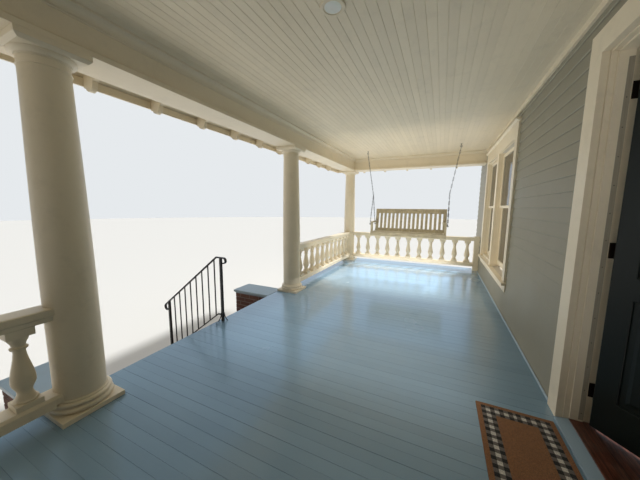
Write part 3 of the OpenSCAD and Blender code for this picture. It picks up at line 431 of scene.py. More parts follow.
def painted(name, colour, roughness, along=(1, 1, 1), board_tone_and_highlight=0.0, mottle=0.05, grime=0.12, brush_mm=9,
            grime_colour="#6E6350", bump=0.0006, gloss=0.0, ior=1.5):
    """Brushed paint: streaks of the brush along the board, soft mottling and a little grime.
    Boards of an array may differ by their tone, which on the siding also paints a highlight on each board's
    lower arris."""
    material, tree, place = patterned(name)
    drawn = add(tree, "Mapping", {"Vector": place, "Scale": along})
    brush = add(tree, "TexNoise", {"Vector": drawn, "Scale": per_mm(brush_mm), "Detail": 2.0})
    patch = add(tree, "TexNoise", {"Vector": place, "Scale": per_mm(700), "Detail": 3.0})
    spots = add(tree, "TexNoise", {"Vector": place, "Scale": per_mm(160), "Detail": 8.0, "Roughness": 0.7})
    tone = add(tree, "Attribute", give="Fac", attribute_name="tone")
    patches = {"Value": patch, "From Min": 0.2, "From Max": 0.8}
    uneven = add(tree, "MapRange", {**patches, "To Min": 1 - mottle, "To Max": 1 + mottle})
    # The tone lifts a board's colour at random, and on the siding paints a highlight on each lower arris
    board = add(tree, "MapRange", {"Value": tone, "To Min": 1 - board_tone_and_highlight, "To Max": 1 + board_tone_and_highlight})
    level = add(tree, "Math", {0: uneven, 1: board}, operation="MULTIPLY")
    paint = add(tree, "HueSaturation", {"Color": colour, "Value": level})
    dirty = add(tree, "MapRange", {"Value": spots, "From Min": 0.52, "From Max": 0.75, "To Max": grime})
    mixed = add(tree, "Mix", {0: dirty, 6: paint, 7: grime_colour}, 2, data_type="RGBA")
    sheen = add(tree, "MapRange", {**patches, "To Min": roughness * 0.85, "To Max": min(1, roughness * 1.2)})
    relief = add(tree, "Bump", {"Height": brush, "Strength": 0.5, "Distance": bump})
    return close(material, add(tree, "BsdfPrincipled", {
        "Base Color": mixed, "Roughness": sheen, "Normal": relief, "IOR": ior,
        "Coat Weight": gloss, "Coat Roughness": 0.14, "Coat Normal": relief}))


def trim_paint():
    # Semi-gloss house paint on planed pine: cream, faintly streaked, dulled by dust
    return painted("cream_house_paint", paints().trim, 0.42)


def ceiling_paint():
    # The same cream on beaded boards, brushed lengthwise, each board a hair different
    return painted("ceiling_paint", paints().trim, 0.45, along=(0.05, 1, 1), board_tone_and_highlight=0.03, brush_mm=12)


def floor_paint():
    # Porch and floor enamel: hard and glossy, mottled softly, each board a shade apart
    return painted("porch_floor_enamel", paints().floor, 0.24, along=(1, 0.04, 1), board_tone_and_highlight=0.04, grime=0.0,
                   brush_mm=14, gloss=1.0)


def cap_paint():
    # Floor enamel on the caps of the cheek walls, made paler as painted daylight out beyond the roof, with
    # grey grime in spots
    return painted("paler_lit_floor_enamel", "#93A9B8", 0.45, grime=0.25, grime_colour="#8A9094", gloss=0.3)


def siding_paint():
    # Eggshell paint on clapboards, brushed along the wall, each board's lower arris painted paler as a
    # painted highlight
    return painted("sage_siding_paint", paints().siding, 0.5, along=(0.05, 1, 1), board_tone_and_highlight=0.35,
                   mottle=0.04, grime=0.1, brush_mm=12, grime_colour="#5F6156")


def door_paint():
    # Near-black green enamel, levelled out so that only a soft brush drag is left
    return painted("door_enamel", paints().door, 0.36, along=(1, 1, 0.06), mottle=0.1, grime=0.05,
                   brush_mm=10, grime_colour="#2A3A34", ior=1.38)


def plaster():
    # Trowelled plaster on the room side of the wall: matt, off-white, faintly wavy
    return painted("room_plaster", "#CFC8BA", 0.85, brush_mm=60, grime=0.05, bump=0.002)


def iron_paint():
    """Forged iron under black paint: satin, with the hammer's shallow dents and a little rust"""
    material, tree, place = patterned("black_painted_iron")
    dents = add(tree, "TexNoise", {"Vector": place, "Scale": per_mm(25), "Detail": 3.0})
    arris_highlight = add(tree, "TexNoise", {"Vector": place, "Scale": per_mm(90), "Detail": 9.0, "Roughness": 0.75})
    rust = add(tree, "MapRange", {"Value": arris_highlight, "From Min": 0.62, "From Max": 0.7, "To Max": 0.5})
    colour = add(tree, "Mix", {0: rust, 6: paints().iron, 7: "#3A2A22"}, 2, data_type="RGBA")
    sheen = add(tree, "MapRange", {"Value": arris_highlight, "To Min": 0.28, "To Max": 0.6})
    relief = add(tree, "Bump", {"Height": dents, "Strength": 0.4, "Distance": 0.001})
    return close(material, add(tree, "BsdfPrincipled", {
        "Base Color": colour, "Roughness": sheen, "Normal": relief}))


def spotted_metal(name, light, dark, spot_mm, detail, sheen, metallic, along=(1, 1, 1)):
    """Metal that has gone dull and dark in spots, with the sheen between two roughnesses"""
    material, tree, place = patterned(name)
    drawn = add(tree, "Mapping", {"Vector": place, "Scale": along})
    spots = add(tree, "TexNoise", {"Vector": drawn, "Scale": per_mm(spot_mm), "Detail": detail})
    colour = add(tree, "Mix", {0: spots, 6: light, 7: dark}, 2, data_type="RGBA")
    rough = add(tree, "MapRange", {"Value": spots, "To Min": sheen[0], "To Max": sheen[1]})
    return close(material, add(tree, "BsdfPrincipled", {
        "Base Color": colour, "Roughness": rough, "Metallic": metallic}))


def brass():
    # Cast brass gone brown with age: warm metal with dull spots
    return spotted_metal("aged_brass", "#8C744A", "#5A4830", 12, 5.0, (0.2, 0.45), 1.0)


def bronze():
    # Steel butt hinges in an oil-rubbed bronze finish: nearly black, with browner spots
    return spotted_metal("dark_bronze", "#241E1A", "#3A2E24", 8, 4.0, (0.3, 0.55), 0.8)


def zinc():
    # Rolled zinc weather strip, drawn along its length, so dull with age and dust that no metal shows
    return spotted_metal("rolled_zinc", "#A89F8C", "#8A8271", 5, 3.0, (0.5, 0.7), 0.0, (1, 1, 0.05))


def fired_brick():
    """Wire-cut clay brick: each brick its own red, sanded and pitted"""
    material, tree, place = patterned("fired_clay_brick")
    tone = add(tree, "Attribute", give="Fac", attribute_name="tone")
    sand = add(tree, "TexNoise", {"Vector": place, "Scale": per_mm(6), "Detail": 4.0})
    burnt = add(tree, "TexNoise", {"Vector": place, "Scale": per_mm(60), "Detail": 5.0})
    clay = paints().brick
    body = add(tree, "Mix", {0: tone, 6: shade(clay, 0.62), 7: shade(clay, 1.35)}, 2, data_type="RGBA")
    fired = add(tree, "Mix", {0: burnt, 6: body, 7: "#584038"}, 2, data_type="RGBA")
    level = add(tree, "MapRange", {"Value": sand, "To Min": 0.75, "To Max": 1.25})
    colour = add(tree, "HueSaturation", {"Color": fired, "Value": level})
    relief = add(tree, "Bump", {"Height": sand, "Strength": 0.7, "Distance": 0.0015})
    return close(material, add(tree, "BsdfPrincipled", {
        "Base Color": colour, "Roughness": 0.85, "Normal": relief}))


def mortar():
    """Lime mortar struck flush: sandy grey, stained here and there"""
    material, tree, place = patterned("lime_mortar")
    sand = add(tree, "TexNoise", {"Vector": place, "Scale": per_mm(4), "Detail": 5.0})
    stain = add(tree, "TexNoise", {"Vector": place, "Scale": per_mm(220), "Detail": 4.0})
    lime = paints().mortar
    colour = add(tree, "Mix", {0: stain, 6: lime, 7: shade(lime, 0.6)}, 2, data_type="RGBA")
    relief = add(tree, "Bump", {"Height": sand, "Strength": 0.8, "Distance": 0.002})
    return close(material, add(tree, "BsdfPrincipled", {
        "Base Color": colour, "Roughness": 0.95, "Normal": relief}))


def shingle():
    """Asphalt shingle: mineral granules, each tab a shade apart. The granules are drawn 5 mm
    across, coarser than the real 1.5 mm, so that they show."""
    material, tree, place = patterned("asphalt_shingle")
    tone = add(tree, "Attribute", give="Fac", attribute_name="tone")
    grains = add(tree, "TexVoronoi", {"Vector": place, "Scale": per_mm(5)}, "Color")
    grey = add(tree, "RGBToBW", {"Color": grains})
    stone = paints().shingle
    body = add(tree, "Mix", {0: tone, 6: shade(stone, 0.6), 7: shade(stone, 1.3)}, 2, data_type="RGBA")
    level = add(tree, "MapRange", {"Value": grey, "To Min": 0.6, "To Max": 1.4})
    colour = add(tree, "HueSaturation", {"Color": body, "Value": level})
    relief = add(tree, "Bump", {"Height": grey, "Strength": 0.6, "Distance": 0.001})
    return close(material, add(tree, "BsdfPrincipled", {
        "Base Color": colour, "Roughness": 0.95, "Normal": relief}))


def timber(name, light, dark, roughness, along, ring_mm, wear):
    """Sawn timber: long grain and finer pores along the board, with grey wear in blotches"""
    material, tree, place = patterned(name)
    drawn = add(tree, "Mapping", {"Vector": place, "Scale": along})
    rings = add(tree, "TexNoise", {"Vector": drawn, "Scale": per_mm(ring_mm), "Detail": 4.0,
                                   "Distortion": 0.6})
    pores = add(tree, "TexNoise", {"Vector": drawn, "Scale": per_mm(ring_mm / 6), "Detail": 3.0})
    blotch = add(tree, "TexNoise", {"Vector": place, "Scale": per_mm(110), "Detail": 5.0})
    tone = add(tree, "Attribute", give="Fac", attribute_name="tone")
    band = add(tree, "MapRange", {"Value": rings, "From Min": 0.35, "From Max": 0.65})
    grain = add(tree, "Mix", {0: band, 6: light, 7: dark}, 2, data_type="RGBA")
    faded = add(tree, "MapRange", {"Value": blotch, "From Min": 0.45, "From Max": 0.65, "To Max": wear})
    grey = add(tree, "Mix", {0: faded, 6: grain, 7: "#A39B8C"}, 2, data_type="RGBA")
    board = add(tree, "MapRange", {"Value": tone, "To Min": 0.88, "To Max": 1.12})
    colour = add(tree, "HueSaturation", {"Color": grey, "Value": board})
    relief = add(tree, "Bump", {"Height": pores, "Strength": 0.5, "Distance": 0.0008})
    sheen = add(tree, "MapRange", {"Value": blotch, "To Min": roughness * 0.85,
                                   "To Max": min(1, roughness * 1.2)})
    return close(material, add(tree, "BsdfPrincipled", {
        "Base Color": colour, "Roughness": sheen, "Normal": relief}))


def swing_timber(name, along):
    # Unpainted cypress left outdoors: silver-brown, raised grain, no varnish left
    return timber(name, paints().swing_wood, "#B2A88C", 0.75, along, 9, 0.45)


def threshold_oak():
    # Stained and varnished oak, trodden a little pale in places
    return timber("stained_oak", "#7A4632", "#3C2018", 0.35, (0.06, 1, 1), 7, 0.1)


def window_glass():
    """Old float glass: near-black, a painted shade of the dark room behind it that ripples slowly between two
    greys, with a slow ripple in what it reflects
    """
    material, tree, place = patterned("window_glass")
    ripple = add(tree, "TexNoise", {"Vector": place, "Scale": per_mm(260), "Detail": 1.0})
    # Painted shade: two dark greys stand in for the unlit room seen through the pane
    depth = add(tree, "Mix", {0: ripple, 6: "#26292A", 7: "#4A4B46"}, 2, data_type="RGBA")
    relief = add(tree, "Bump", {"Height": ripple, "Strength": 0.25, "Distance": 0.01})
    return close(material, add(tree, "BsdfPrincipled", {
        "Base Color": depth, "Roughness": 0.05, "Normal": relief, "IOR": 1.52}))


def lens_plastic():
    """Opal acrylic lens of the ceiling light: white, soft, and a little translucent"""
    material, tree, place = patterned("opal_acrylic")
    haze = add(tree, "TexNoise", {"Vector": place, "Scale": per_mm(40), "Detail": 2.0})
    colour = add(tree, "Mix", {0: haze, 6: "#F2F1EC", 7: "#E7E5DE"}, 2, data_type="RGBA")
    return close(material, add(tree, "BsdfPrincipled", {
        "Base Color": colour, "Roughness": 0.3, "IOR": 1.49, "Subsurface Weight": 0.2}))


def paints():
    return bpy.context.scene.porch_paints


# Pieces

class PORCH_OT_siding(Operator):
    """Lap the siding boards over the house wall and cut them round the casings"""
    bl_idname = "porch.siding"
    bl_label = "Siding"
    arris = 0.005

    def execute(self, context):
        sizes = context.scene.porch_boards
        left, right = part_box("wall_left"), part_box("wall_right")
        face, bottom, top = left[0].y, left[0].z, left[1].z
        x0, x1 = left[0].x, right[1].x
        board = block("siding", (x0, face - sizes.siding_butt, bottom), (x1, face, bottom + sizes.siding_lap))
        shifted(board, lambda p: p.z > bottom + MERGE and p.y < face - MERGE,
                (0, sizes.siding_butt - sizes.siding_feather, 0))
        bevelled(board, lambda *ends: all(
            abs(p.y - face + sizes.siding_butt) < MERGE and p.z < bottom + MERGE for p in ends), self.arris)
        # A painted highlight: the lower arris faces of each board get a higher tone, so the paint shows paler
        # there
        arris_highlight = board.data.attributes.new("tone", "FLOAT", "FACE")
        for side in board.data.polygons:
            lit_arris = side.center.z < bottom + self.arris and side.normal.y < -0.1
            arris_highlight.data[side.index].value = 1.0 if lit_arris else 0.5
        repeated(board, int((top - bottom) / sizes.siding_lap) + 1, (0, 0, sizes.siding_lap))

        # Holes for the window casings with their sills, and for the door's casing
        cap = 0.025
        casings = [
            (casing[0].x + cap, casing[1].x - cap, sill[0].z, casing[1].z)
            for casing, sill in zip(solids("window_casings"), solids("window_sills"))
        ]
        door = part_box("door_casing")
        holes = [casings[0], (door[0].x, door[1].x, bottom, door[1].z), casings[1]]
        fields, edge = [], x0
        for hole_x0, hole_x1, hole_z0, hole_z1 in holes:
            fields += [(edge, hole_x0, bottom, top), (hole_x0, hole_x1, hole_z1, top)]
            if hole_z0 > bottom:
                fields.append((hole_x0, hole_x1, bottom, hole_z0))
            edge = hole_x1
        fields.append((edge, x1, bottom, top))
        far = face - 1
        parts = [
            cropped(copied(board, "part"), (low_x, far, low_z), (high_x, face, high_z))
            for low_x, high_x, low_z, high_z in fields
        ]
        bpy.data.objects.remove(board)
        finished(joined("siding_boards", parts), siding_paint())
        self.shoe(sizes.shoe, face - sizes.siding_butt, door)
        return {"FINISHED"}

    def shoe(self, size, face, door):
        """A quarter round on the floor along the foot of the siding, broken by the doorway"""
        floor_low, floor_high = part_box("floor_deck")
        runs = []
        for x0, x1 in ((floor_low.x, door[0].x), (door[1].x, floor_high.x)):
            run = block("shoe", (x0, face - size, floor_high.z), (x1, face, floor_high.z + size))
            runs.append(smooth(bevelled(run, lambda *ends: all(
                p.y < face - size / 2 and p.z > floor_high.z + size / 2 for p in ends), size * 0.9, 5)))
        # The shoe moulding takes the paler floor enamel, a painted highlight along the foot of the siding
        finished(joined("shoe_moulding", runs), bpy.data.materials["paler_lit_floor_enamel"])


class PORCH_OT_floor(Operator):
    """Lay the floor boards, each with eased edges and a rounded nosing"""
    bl_idname = "porch.floor"
    bl_label = "Floor boards"

    def execute(self, context):
        low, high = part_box("floor_deck")
        pairs = round((high.x - low.x) / (2 * context.scene.porch_boards.floor_board))
        width = (high.x - low.x) / (2 * pairs)
        halves = []
        for k, opened in enumerate((0.0022, 0.0008)):
            seam = low.x + k * width
            board = block("floor_boards", (seam, low.y, low.z), (low.x + (k + 1) * width, high.y, high.z))
            nose = (high.z - low.z) * 0.45
            bevelled(board, lambda a, b: max(a.y, b.y) < low.y + MERGE and abs(a.z - b.z) < MERGE, nose, 4)
            halves.append(bevelled(board, lambda *ends: all(
                abs(p.x - seam) < MERGE and p.z > high.z - MERGE for p in ends), opened))
        board = joined("floor_boards", halves)
        faces = len(board.data.polygons) // 2
        toned(repeated(board, pairs, (2 * width, 0, 0)), faces, seed=3)
        finished(crisp(board), floor_paint(), stands_for=["floor_deck"])
        return {"FINISHED"}


class PORCH_OT_ceiling(Operator):
    """Nail up the beaded ceiling boards, with a groove at each joint"""
    bl_idname = "porch.ceiling"
    bl_label = "Ceiling boards"

    def execute(self, context):
        sizes = context.scene.porch_boards
        low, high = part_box("ceiling")
        count = round((high.y - low.y) / sizes.ceiling_board)
        width = (high.y - low.y) / count
        board = block("ceiling_boards", low, (high.x, low.y + width, high.z))
        bevelled(board, lambda a, b: max(a.z, b.z) < low.z + MERGE and abs(a.x - b.x) > width,
                 sizes.ceiling_groove)
        faces = len(board.data.polygons)
        toned(repeated(board, count, (0, width, 0)), faces, seed=5)
        finished(crisp(board), ceiling_paint(), stands_for=["ceiling"])
        return {"FINISHED"}


class PORCH_OT_roofing(Operator):
    """Lay courses of shingles on the three slopes, and caps along the hips"""
    bl_idname = "porch.roofing"
    bl_label = "Roofing"

    def slope(self, name, sizes, width, run, pitch, seed):
        """Courses of tabs on one slope, drawn from the middle of its eave at the origin, up along Y"""
        angle = atan(pitch)
        length = run / cos(angle)
        rows = int(length / sizes.exposure) + 1
        tabs = int(width / sizes.tab_width) + 2
        gap, overlap, feather = 0.006, 1.15, 0.001
        left = -tabs * sizes.tab_width / 2
        tab = block(name, (left, 0, 0), (left + sizes.tab_width - gap, sizes.exposure * overlap, sizes.butt))
        shifted(tab, lambda p: p.y > MERGE and p.z > MERGE, (0, 0, feather - sizes.butt))
        faces = len(tab.data.polygons)
        repeated(tab, tabs, (sizes.tab_width, 0, 0))
        odd = placed(copied(tab, "odd"), move=(sizes.tab_width / 2, sizes.exposure, 0))
        both = joined(name, [tab, odd])
        toned(repeated(both, (rows + 1) // 2, (0, 2 * sizes.exposure, 0)), faces, seed)
        return placed(both, turn=(angle, 0, 0))

    def execute(self, context):
        sizes = context.scene.porch_roofing
        front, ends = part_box("roof_front"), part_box("roof_ends")
        deck = 0.045
        run = front[1].y - front[0].y
        pitch = (front[1].z - front[0].z - deck) / run
        eave = Vector((0, front[0].y, front[0].z + deck))
        corner = ends[1].x
        top = Vector((0, front[1].y, front[1].z))

        face = placed(self.slope("shingles_front", sizes, 2 * corner, run, pitch, 11), move=eave)
        cut(face, (corner, eave.y, 0), Vector((1, 1, 0)))
        cut(face, (-corner, eave.y, 0), Vector((-1, 1, 0)))
        cut(face, top, Y)
        finished(face, shingle())
        for side, name in ((1, "shingles_right"), (-1, "shingles_left")):
            end = placed(self.slope(name, sizes, 2 * run, run, pitch, 13 + side), turn=(0, 0, side * pi / 2),
                         move=(side * corner, eave.y + run, eave.z))
            cut(end, (side * corner, eave.y, 0), Vector((-side, -1, 0)))
            cut(end, top, Y)
            finished(end, bpy.data.materials["asphalt_shingle"])
        self.hip_caps(sizes, corner, eave, run, pitch)
        dressed([("roof_front", "sheathing_front", 0.002), ("roof_ends", "sheathing_ends", 0.002)],
                bpy.data.materials["cream_house_paint"])
        return {"FINISHED"}

    def hip_caps(self, sizes, corner, eave, run, pitch):
        """Folded caps that lap up each hip"""
        half, overlap = 0.13, 1.3
        drop = pitch * half / sqrt(2)
        caps = int(run * sqrt(2) / sizes.exposure)
        for side, name in ((1, "hip_caps_right"), (-1, "hip_caps_left")):
            cap = block(name, (-half, 0, 0), (half, sizes.exposure * overlap, sizes.butt))
            edit(cap)
            bpy.ops.mesh.bisect(plane_co=(0, 0, 0), plane_no=X)
            done()
            shifted(cap, lambda p: abs(p.x) > half / 2, (0, 0, -drop))
            shifted(cap, lambda p: p.y > MERGE, (0, 0, -sizes.butt))
            faces = len(cap.data.polygons)
            toned(repeated(cap, caps, (0, sizes.exposure, 0)), faces, 17 + side)
            placed(cap, turn=(atan(pitch / sqrt(2)), 0, side * pi / 4),
                   move=(side * corner, eave.y, eave.z + sizes.butt))
            cut(cap, (0, eave.y + run, 0), Y)
            cut(cap, (0, eave.y, 0), -Y)
            cut(cap, (side * corner, 0, 0), side * X)
            finished(cap, bpy.data.materials["asphalt_shingle"])


class PORCH_OT_brickwork(Operator):
    """Lay the bricks of the foundation, the steps and the cheek walls over their mortar"""
    bl_idname = "porch.brickwork"
    bl_label = "Brickwork"

    def panel(self, origin, direction, length, height, seed):
        """A panel of running bond. Its lower left corner is at origin, seen from outside, and the
        direction runs to the right"""
        sizes = bpy.context.scene.porch_masonry
        pitch = sizes.brick_length + sizes.joint
        courses = max(1, round(height / (sizes.brick_height + sizes.joint)))
        rise = height / courses
        count = int(length / pitch) + 2
        brick = block("panel", (0, -sizes.proud, sizes.joint / 2),
                      (sizes.brick_length, 3 * sizes.proud, rise - sizes.joint / 2))
        rounded(brick, 0.003, segments=1)
        faces = len(brick.data.polygons)
        repeated(brick, count, (pitch, 0, 0))
        if courses > 1:
            odd = placed(copied(brick, "odd"), move=(-pitch / 2, 0, rise))
            brick = joined("panel", [brick, odd])
            repeated(brick, (courses + 1) // 2, (0, 0, 2 * rise))
        toned(brick, faces, seed)
        cropped(brick, (0, -1, 0), (length, 1, height))
        angle = Vector((1, 0)).angle_signed(Vector(direction)) * -1
        return placed(brick, turn=(0, 0, angle), move=origin)

    def wall(self, box, sides, seed):
        """Panels on the named sides of a box"""
        low, high = box
        width, depth, height = (b - a for a, b in zip(low, high))
        views = {
            "front": (low, (1, 0), width),
            "right": ((high.x, low.y, low.z), (0, 1), depth),
            "back": ((high.x, high.y, low.z), (-1, 0), width),
            "left": ((low.x, high.y, low.z), (0, -1), depth),
        }
        return [self.panel(*views[side], height, seed + i) for i, side in enumerate(sides)]

    def treads(self, boxes):
        """Headers and half bats on each tread"""
        sizes = bpy.context.scene.porch_masonry
        parts = []
        for k, (low, high) in enumerate(boxes):
            count = round((high.x - low.x) / (sizes.brick_width + sizes.joint))
            pitch = (high.x - low.x) / count
            middle = low.y + sizes.brick_length
            for y0, y1 in ((low.y - sizes.proud, middle), (middle + sizes.joint, high.y)):
                brick = block("tread", (low.x + sizes.joint / 2, y0, low.z + 0.002),
                              (low.x + pitch - sizes.joint / 2, y1, high.z + sizes.proud))
                rounded(brick, 0.004, segments=2)
                faces = len(brick.data.polygons)
                parts.append(toned(repeated(brick, count, (pitch, 0, 0)), faces, 40 + k))
        return parts

    def execute(self, context):
        clay = fired_brick()
        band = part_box("foundation_front")
        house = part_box("foundation_house")
        ends = solids("foundation_ends")
        porch = (band[0], Vector((band[1].x, ends[0][1].y, band[1].z)))
        finished(joined("foundation_bricks", self.wall(porch, ("front", "left", "right"), 21)), clay)
        strips = [
            self.panel((house[0].x, house[0].y, 0), (1, 0), band[0].x - house[0].x, house[1].z, 25),
            self.panel((band[1].x, house[0].y, 0), (1, 0), house[1].x - band[1].x, house[1].z, 26),
        ]
        house_sides = self.wall(house, ("right", "back", "left"), 27)
        finished(joined("house_foundation_bricks", strips + house_sides), clay)
        walls = [
            panel for i, box in enumerate(solids("cheek_walls"))
            for panel in self.wall(box, ("front", "left", "right"), 31 + 3 * i)
        ]
        finished(joined("cheek_bricks", walls), clay)
        treads = sorted(solids("step_treads"), key=lambda b: b[0].z)
        risers = []
        below, nosing = 0, 0.02
        for i, (low, high) in enumerate(treads):
            face = (low.x, low.y + nosing, below)
            risers.append(self.panel(face, (1, 0), high.x - low.x, low.z - below, 45 + i))
            below = high.z
        finished(joined("riser_bricks", risers), clay)
        finished(joined("tread_bricks", self.treads(treads)), clay)
        surfaced(("foundation_front", "foundation_ends", "foundation_house", "step_masonry", "step_treads",
                  "cheek_walls"), mortar())
        return {"FINISHED"}


class PORCH_OT_columns(Operator):
    """Turn the four columns: base, tapered shaft and capital"""
    bl_idname = "porch.columns"
    bl_label = "Columns"

    def execute(self, context):
        cream = bpy.data.materials["cream_house_paint"]
        plinths, bases = solids("column_plinths"), solids("column_bases")
        shafts, capitals = solids("column_shafts"), solids("column_capitals")
        base_parts, shaft_parts, capital_parts = [], [], []
        sides = 72
        for plinth, base, shaft, capital in zip(plinths, bases, shafts, capitals):
            centre = ((plinth[0].x + plinth[1].x) / 2, (plinth[0].y + plinth[1].y) / 2)
            r = (base[1].x - base[0].x) / 2
            foot = (shaft[1].x - shaft[0].x) / 2
            z = base[0].z
            base_parts.append(turned("base", [
                (r - 0.020, z), *bulge(r - 0.020, z + 0.020, 0.020, -75, 90, 10), (foot + 0.025, z + 0.040),
                (foot + 0.025, z + 0.044), *bulge(foot + 0.015, z + 0.059, 0.015, -80, 80, 8),
                (foot + 0.011, z + 0.076), (foot + 0.011, z + 0.084), (foot + 0.005, base[1].z)],
                sides, centre))
            straight = 0.76
            neck = 0.128
            low, high = shaft[0].z, shaft[1].z
            rise = high - low - straight
            steps, entasis = 10, 1.4
            taper = [
                (foot + (neck - foot) * (i / steps) ** entasis, low + straight + rise * i / steps)
                for i in range(1, steps + 1)
            ]
            shaft_parts.append(turned("shaft", [(foot, low), (foot, low + straight), *taper], sides, centre))
            low, high = capital
            slab, bed, ring, quarter = 0.035, 0.020, 0.004, 0.028
            ring_z = low.z + 0.064
            under = high.z - slab - bed
            capital_parts.append(turned("capital", [
                (neck, low.z), (neck, ring_z - ring - 0.001), *bulge(neck + 0.001, ring_z, ring, -80, 80, 6),
                (neck, ring_z + ring + 0.001), (neck, under - quarter - 0.008),
                (neck + 0.007, under - quarter - 0.008), *bulge(neck + 0.007, under, quarter, -86, 0, 8)],
                sides, centre))
            inset = (high.x - low.x) / 2 - neck - quarter - 0.009
            foot_of_bed = Vector((inset, inset, 0))
            splay = block("bed", Vector((low.x, low.y, under)) + foot_of_bed,
                          Vector((high.x, high.y, under + bed)) - foot_of_bed)
            edit(splay, lambda v: v.co.z > under + bed / 2)
            grown = (high.x - low.x) / (high.x - low.x - 2 * inset)
            bpy.ops.transform.resize(value=(grown, grown, 1), center_override=(*centre, under + bed))
            done()
            capital_parts.append(splay)
            capital_parts.append(crisp(rounded(block("abacus", (low.x, low.y, under + bed), high), 0.003)))
        for part, pieces in (("bases", base_parts), ("shafts", shaft_parts), ("capitals", capital_parts)):
            finished(joined("turned_" + part, pieces), cream, stands_for=["column_" + part])
        return {"FINISHED"}


class PORCH_OT_balusters(Operator):
    """Turn one vase baluster and stand a copy in each place of the balustrade"""
    bl_idname = "porch.balusters"
    bl_label = "Balusters"

    def baluster(self, width, bottom, top):
        half = width / 2
        low, high = 0.040, 0.052
        z0, z1 = bottom + low, top - high
        h = z1 - z0
        belly, neck = 0.059, 0.029
        waist, ring, swell = z0 + 0.14 * h, z0 + 0.80 * h, z0 + 0.30 * h
        vase = turned("vase", [
            (half - 0.004, z0 - 0.002), (half - 0.004, z0),
            *bulge(half - 0.013, z0 + 0.009, 0.009, -60, 90, 5),
            *eases(z0 + 0.018, half - 0.016, waist, neck + 0.008, 4),
            *eases(waist, neck + 0.008, swell, belly, 6), *eases(swell, belly, ring, neck, 9),
            (neck + 0.012, ring + 0.002), *bulge(neck + 0.006, ring + 0.010, 0.008, -50, 90, 5),
            (neck + 0.002, ring + 0.0181), *eases(ring + 0.018, neck + 0.002, z1 - 0.008, half - 0.014, 5),
            (half - 0.008, z1 - 0.0079), (half - 0.008, z1 + 0.002)], 32)
        foot = crisp(rounded(block("foot", (-half, -half, bottom), (half, half, z0)), 0.003))
        head = crisp(rounded(block("head", (-half, -half, z1), (half, half, top)), 0.003))
        return joined("baluster", [vase, foot, head])

    def execute(self, context):
        cream = bpy.data.materials["cream_house_paint"]
        nodes = ("balusters_front_left", "balusters_front_right", "balusters_left_end", "balusters_right_end")
        first = solids(nodes[0])[0]
        pattern = self.baluster(first[1].x - first[0].x, first[0].z, first[1].z)
        for node in nodes:
            copies = []
            for low, high in solids(node):
                middle = (low + high) / 2
                copies.append(placed(copied(pattern, "copy"), move=(middle.x, middle.y, 0)))
            finished(joined("turned_" + node, copies), cream, stands_for=[node])
        bpy.data.objects.remove(pattern)
        return {"FINISHED"}


class PORCH_OT_joinery(Operator):
    """Ease the edges of the painted boards, rails, casings and sashes"""
    bl_idname = "porch.joinery"
    bl_label = "Painted joinery"

    def execute(self, context):
        cream = trim_paint()
        eased = context.scene.porch_boards.eased
        fine = eased / 2
        dressed([(node, node + "_joinery", width) for node, width in (
            ("band_boards", eased), ("column_plinths", eased), ("beam_front", eased), ("beam_ends", eased),
            ("beam_mouldings", fine), ("rafter_tails_front", eased), ("rafter_tails_ends", eased),
            ("edge_boards", eased), ("railing_top_rails", fine), ("railing_bottom_rails", fine),
            ("railing_wall_posts", eased), ("window_casings", eased), ("window_sills", eased),
            ("window_frames", fine), ("upper_sashes", eased), ("lower_sashes", eased),
            ("door_casing", eased), ("door_frame", fine),
        )], cream)
        # The cheek caps and the door sill take the paler floor enamel, painted lighter as if in daylight
        dressed([("cheek_caps", "cheek_cap_slabs", eased), ("door_sill", "door_sill_board", fine)],
                cap_paint())
        dressed([("door_threshold", "door_threshold_board", eased)], threshold_oak())
        return {"FINISHED"}


class PORCH_OT_windows(Operator):
    """Glaze the sashes"""
    bl_idname = "porch.windows"
    bl_label = "Window glass"

    def execute(self, context):
        dressed([("window_glass", "window_panes", 0)], window_glass())
        return {"FINISHED"}


class PORCH_OT_door(Operator):
    """Finish the panelled door leaf with its raised panels, knobs and hinges"""
    bl_idname = "porch.door"
    bl_label = "Front door"

    def execute(self, context):
        enamel, dark = door_paint(), bronze()
        dressed([("door_leaf", "panelled_leaf", 0.006)], enamel, "front_door", segments=3)
        panels = eased_copy("door_panels", "raised_panels", 0)
        finished(smooth(panels, radians(12)), enamel, "front_door", ["door_panels"])
        dressed([("door_handle", "door_knobs", 0)], brass(), "front_door")
        dressed([("door_hinges", "hinge_leaves", 0)], dark, "front_door")
        dressed([("door_hinge_pins", "hinge_pins", 0)], dark)
        self.weather_strip()
        return {"FINISHED"}

    def weather_strip(self):
        """A nailed zinc strip on each door stop, beside the leaf"""
        width, sheet, stop = 0.026, 0.0010, 0.012
        nail_r, nail_h, nail_step, first_nail = 0.0028, 0.0016, 0.170, 0.05
        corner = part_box("door_frame")[1]
        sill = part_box("door_sill")
        y1 = corner.y - 0.050
        z0, z1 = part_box("door_threshold")[1].z + 0.012, corner.z - 0.080
        strips, nails = [], []
        for x, side in ((sill[0].x + stop, 1), (sill[1].x - stop, -1)):
            near, far = sorted((x, x + side * sheet))
            strips.append(block("strip", (near, y1 - width, z0), (far, y1, z1)))
            bpy.ops.mesh.primitive_cylinder_add(
                vertices=12, radius=nail_r, depth=nail_h, rotation=(0, pi / 2, 0),
                location=(x + side * 0.0012, y1 - width * 0.55, z0 + first_nail))
            nails.append(repeated(settled("nail"), int((z1 - z0 - 0.06) / nail_step), (0, 0, nail_step)))
        finished(joined("weather_strips", strips), zinc())
        finished(joined("strip_nails", nails), bpy.data.materials["dark_bronze"])


class PORCH_OT_handrail(Operator):
    """Round the arrises of the wrought iron handrail"""
    bl_idname = "porch.handrail"
    bl_label = "Iron handrail"

    def execute(self, context):
        dressed([("handrail_" + part, "iron_" + part, 0.0012) for part in ("posts", "bars", "pickets")],
                iron_paint(), segments=1)
        return {"FINISHED"}


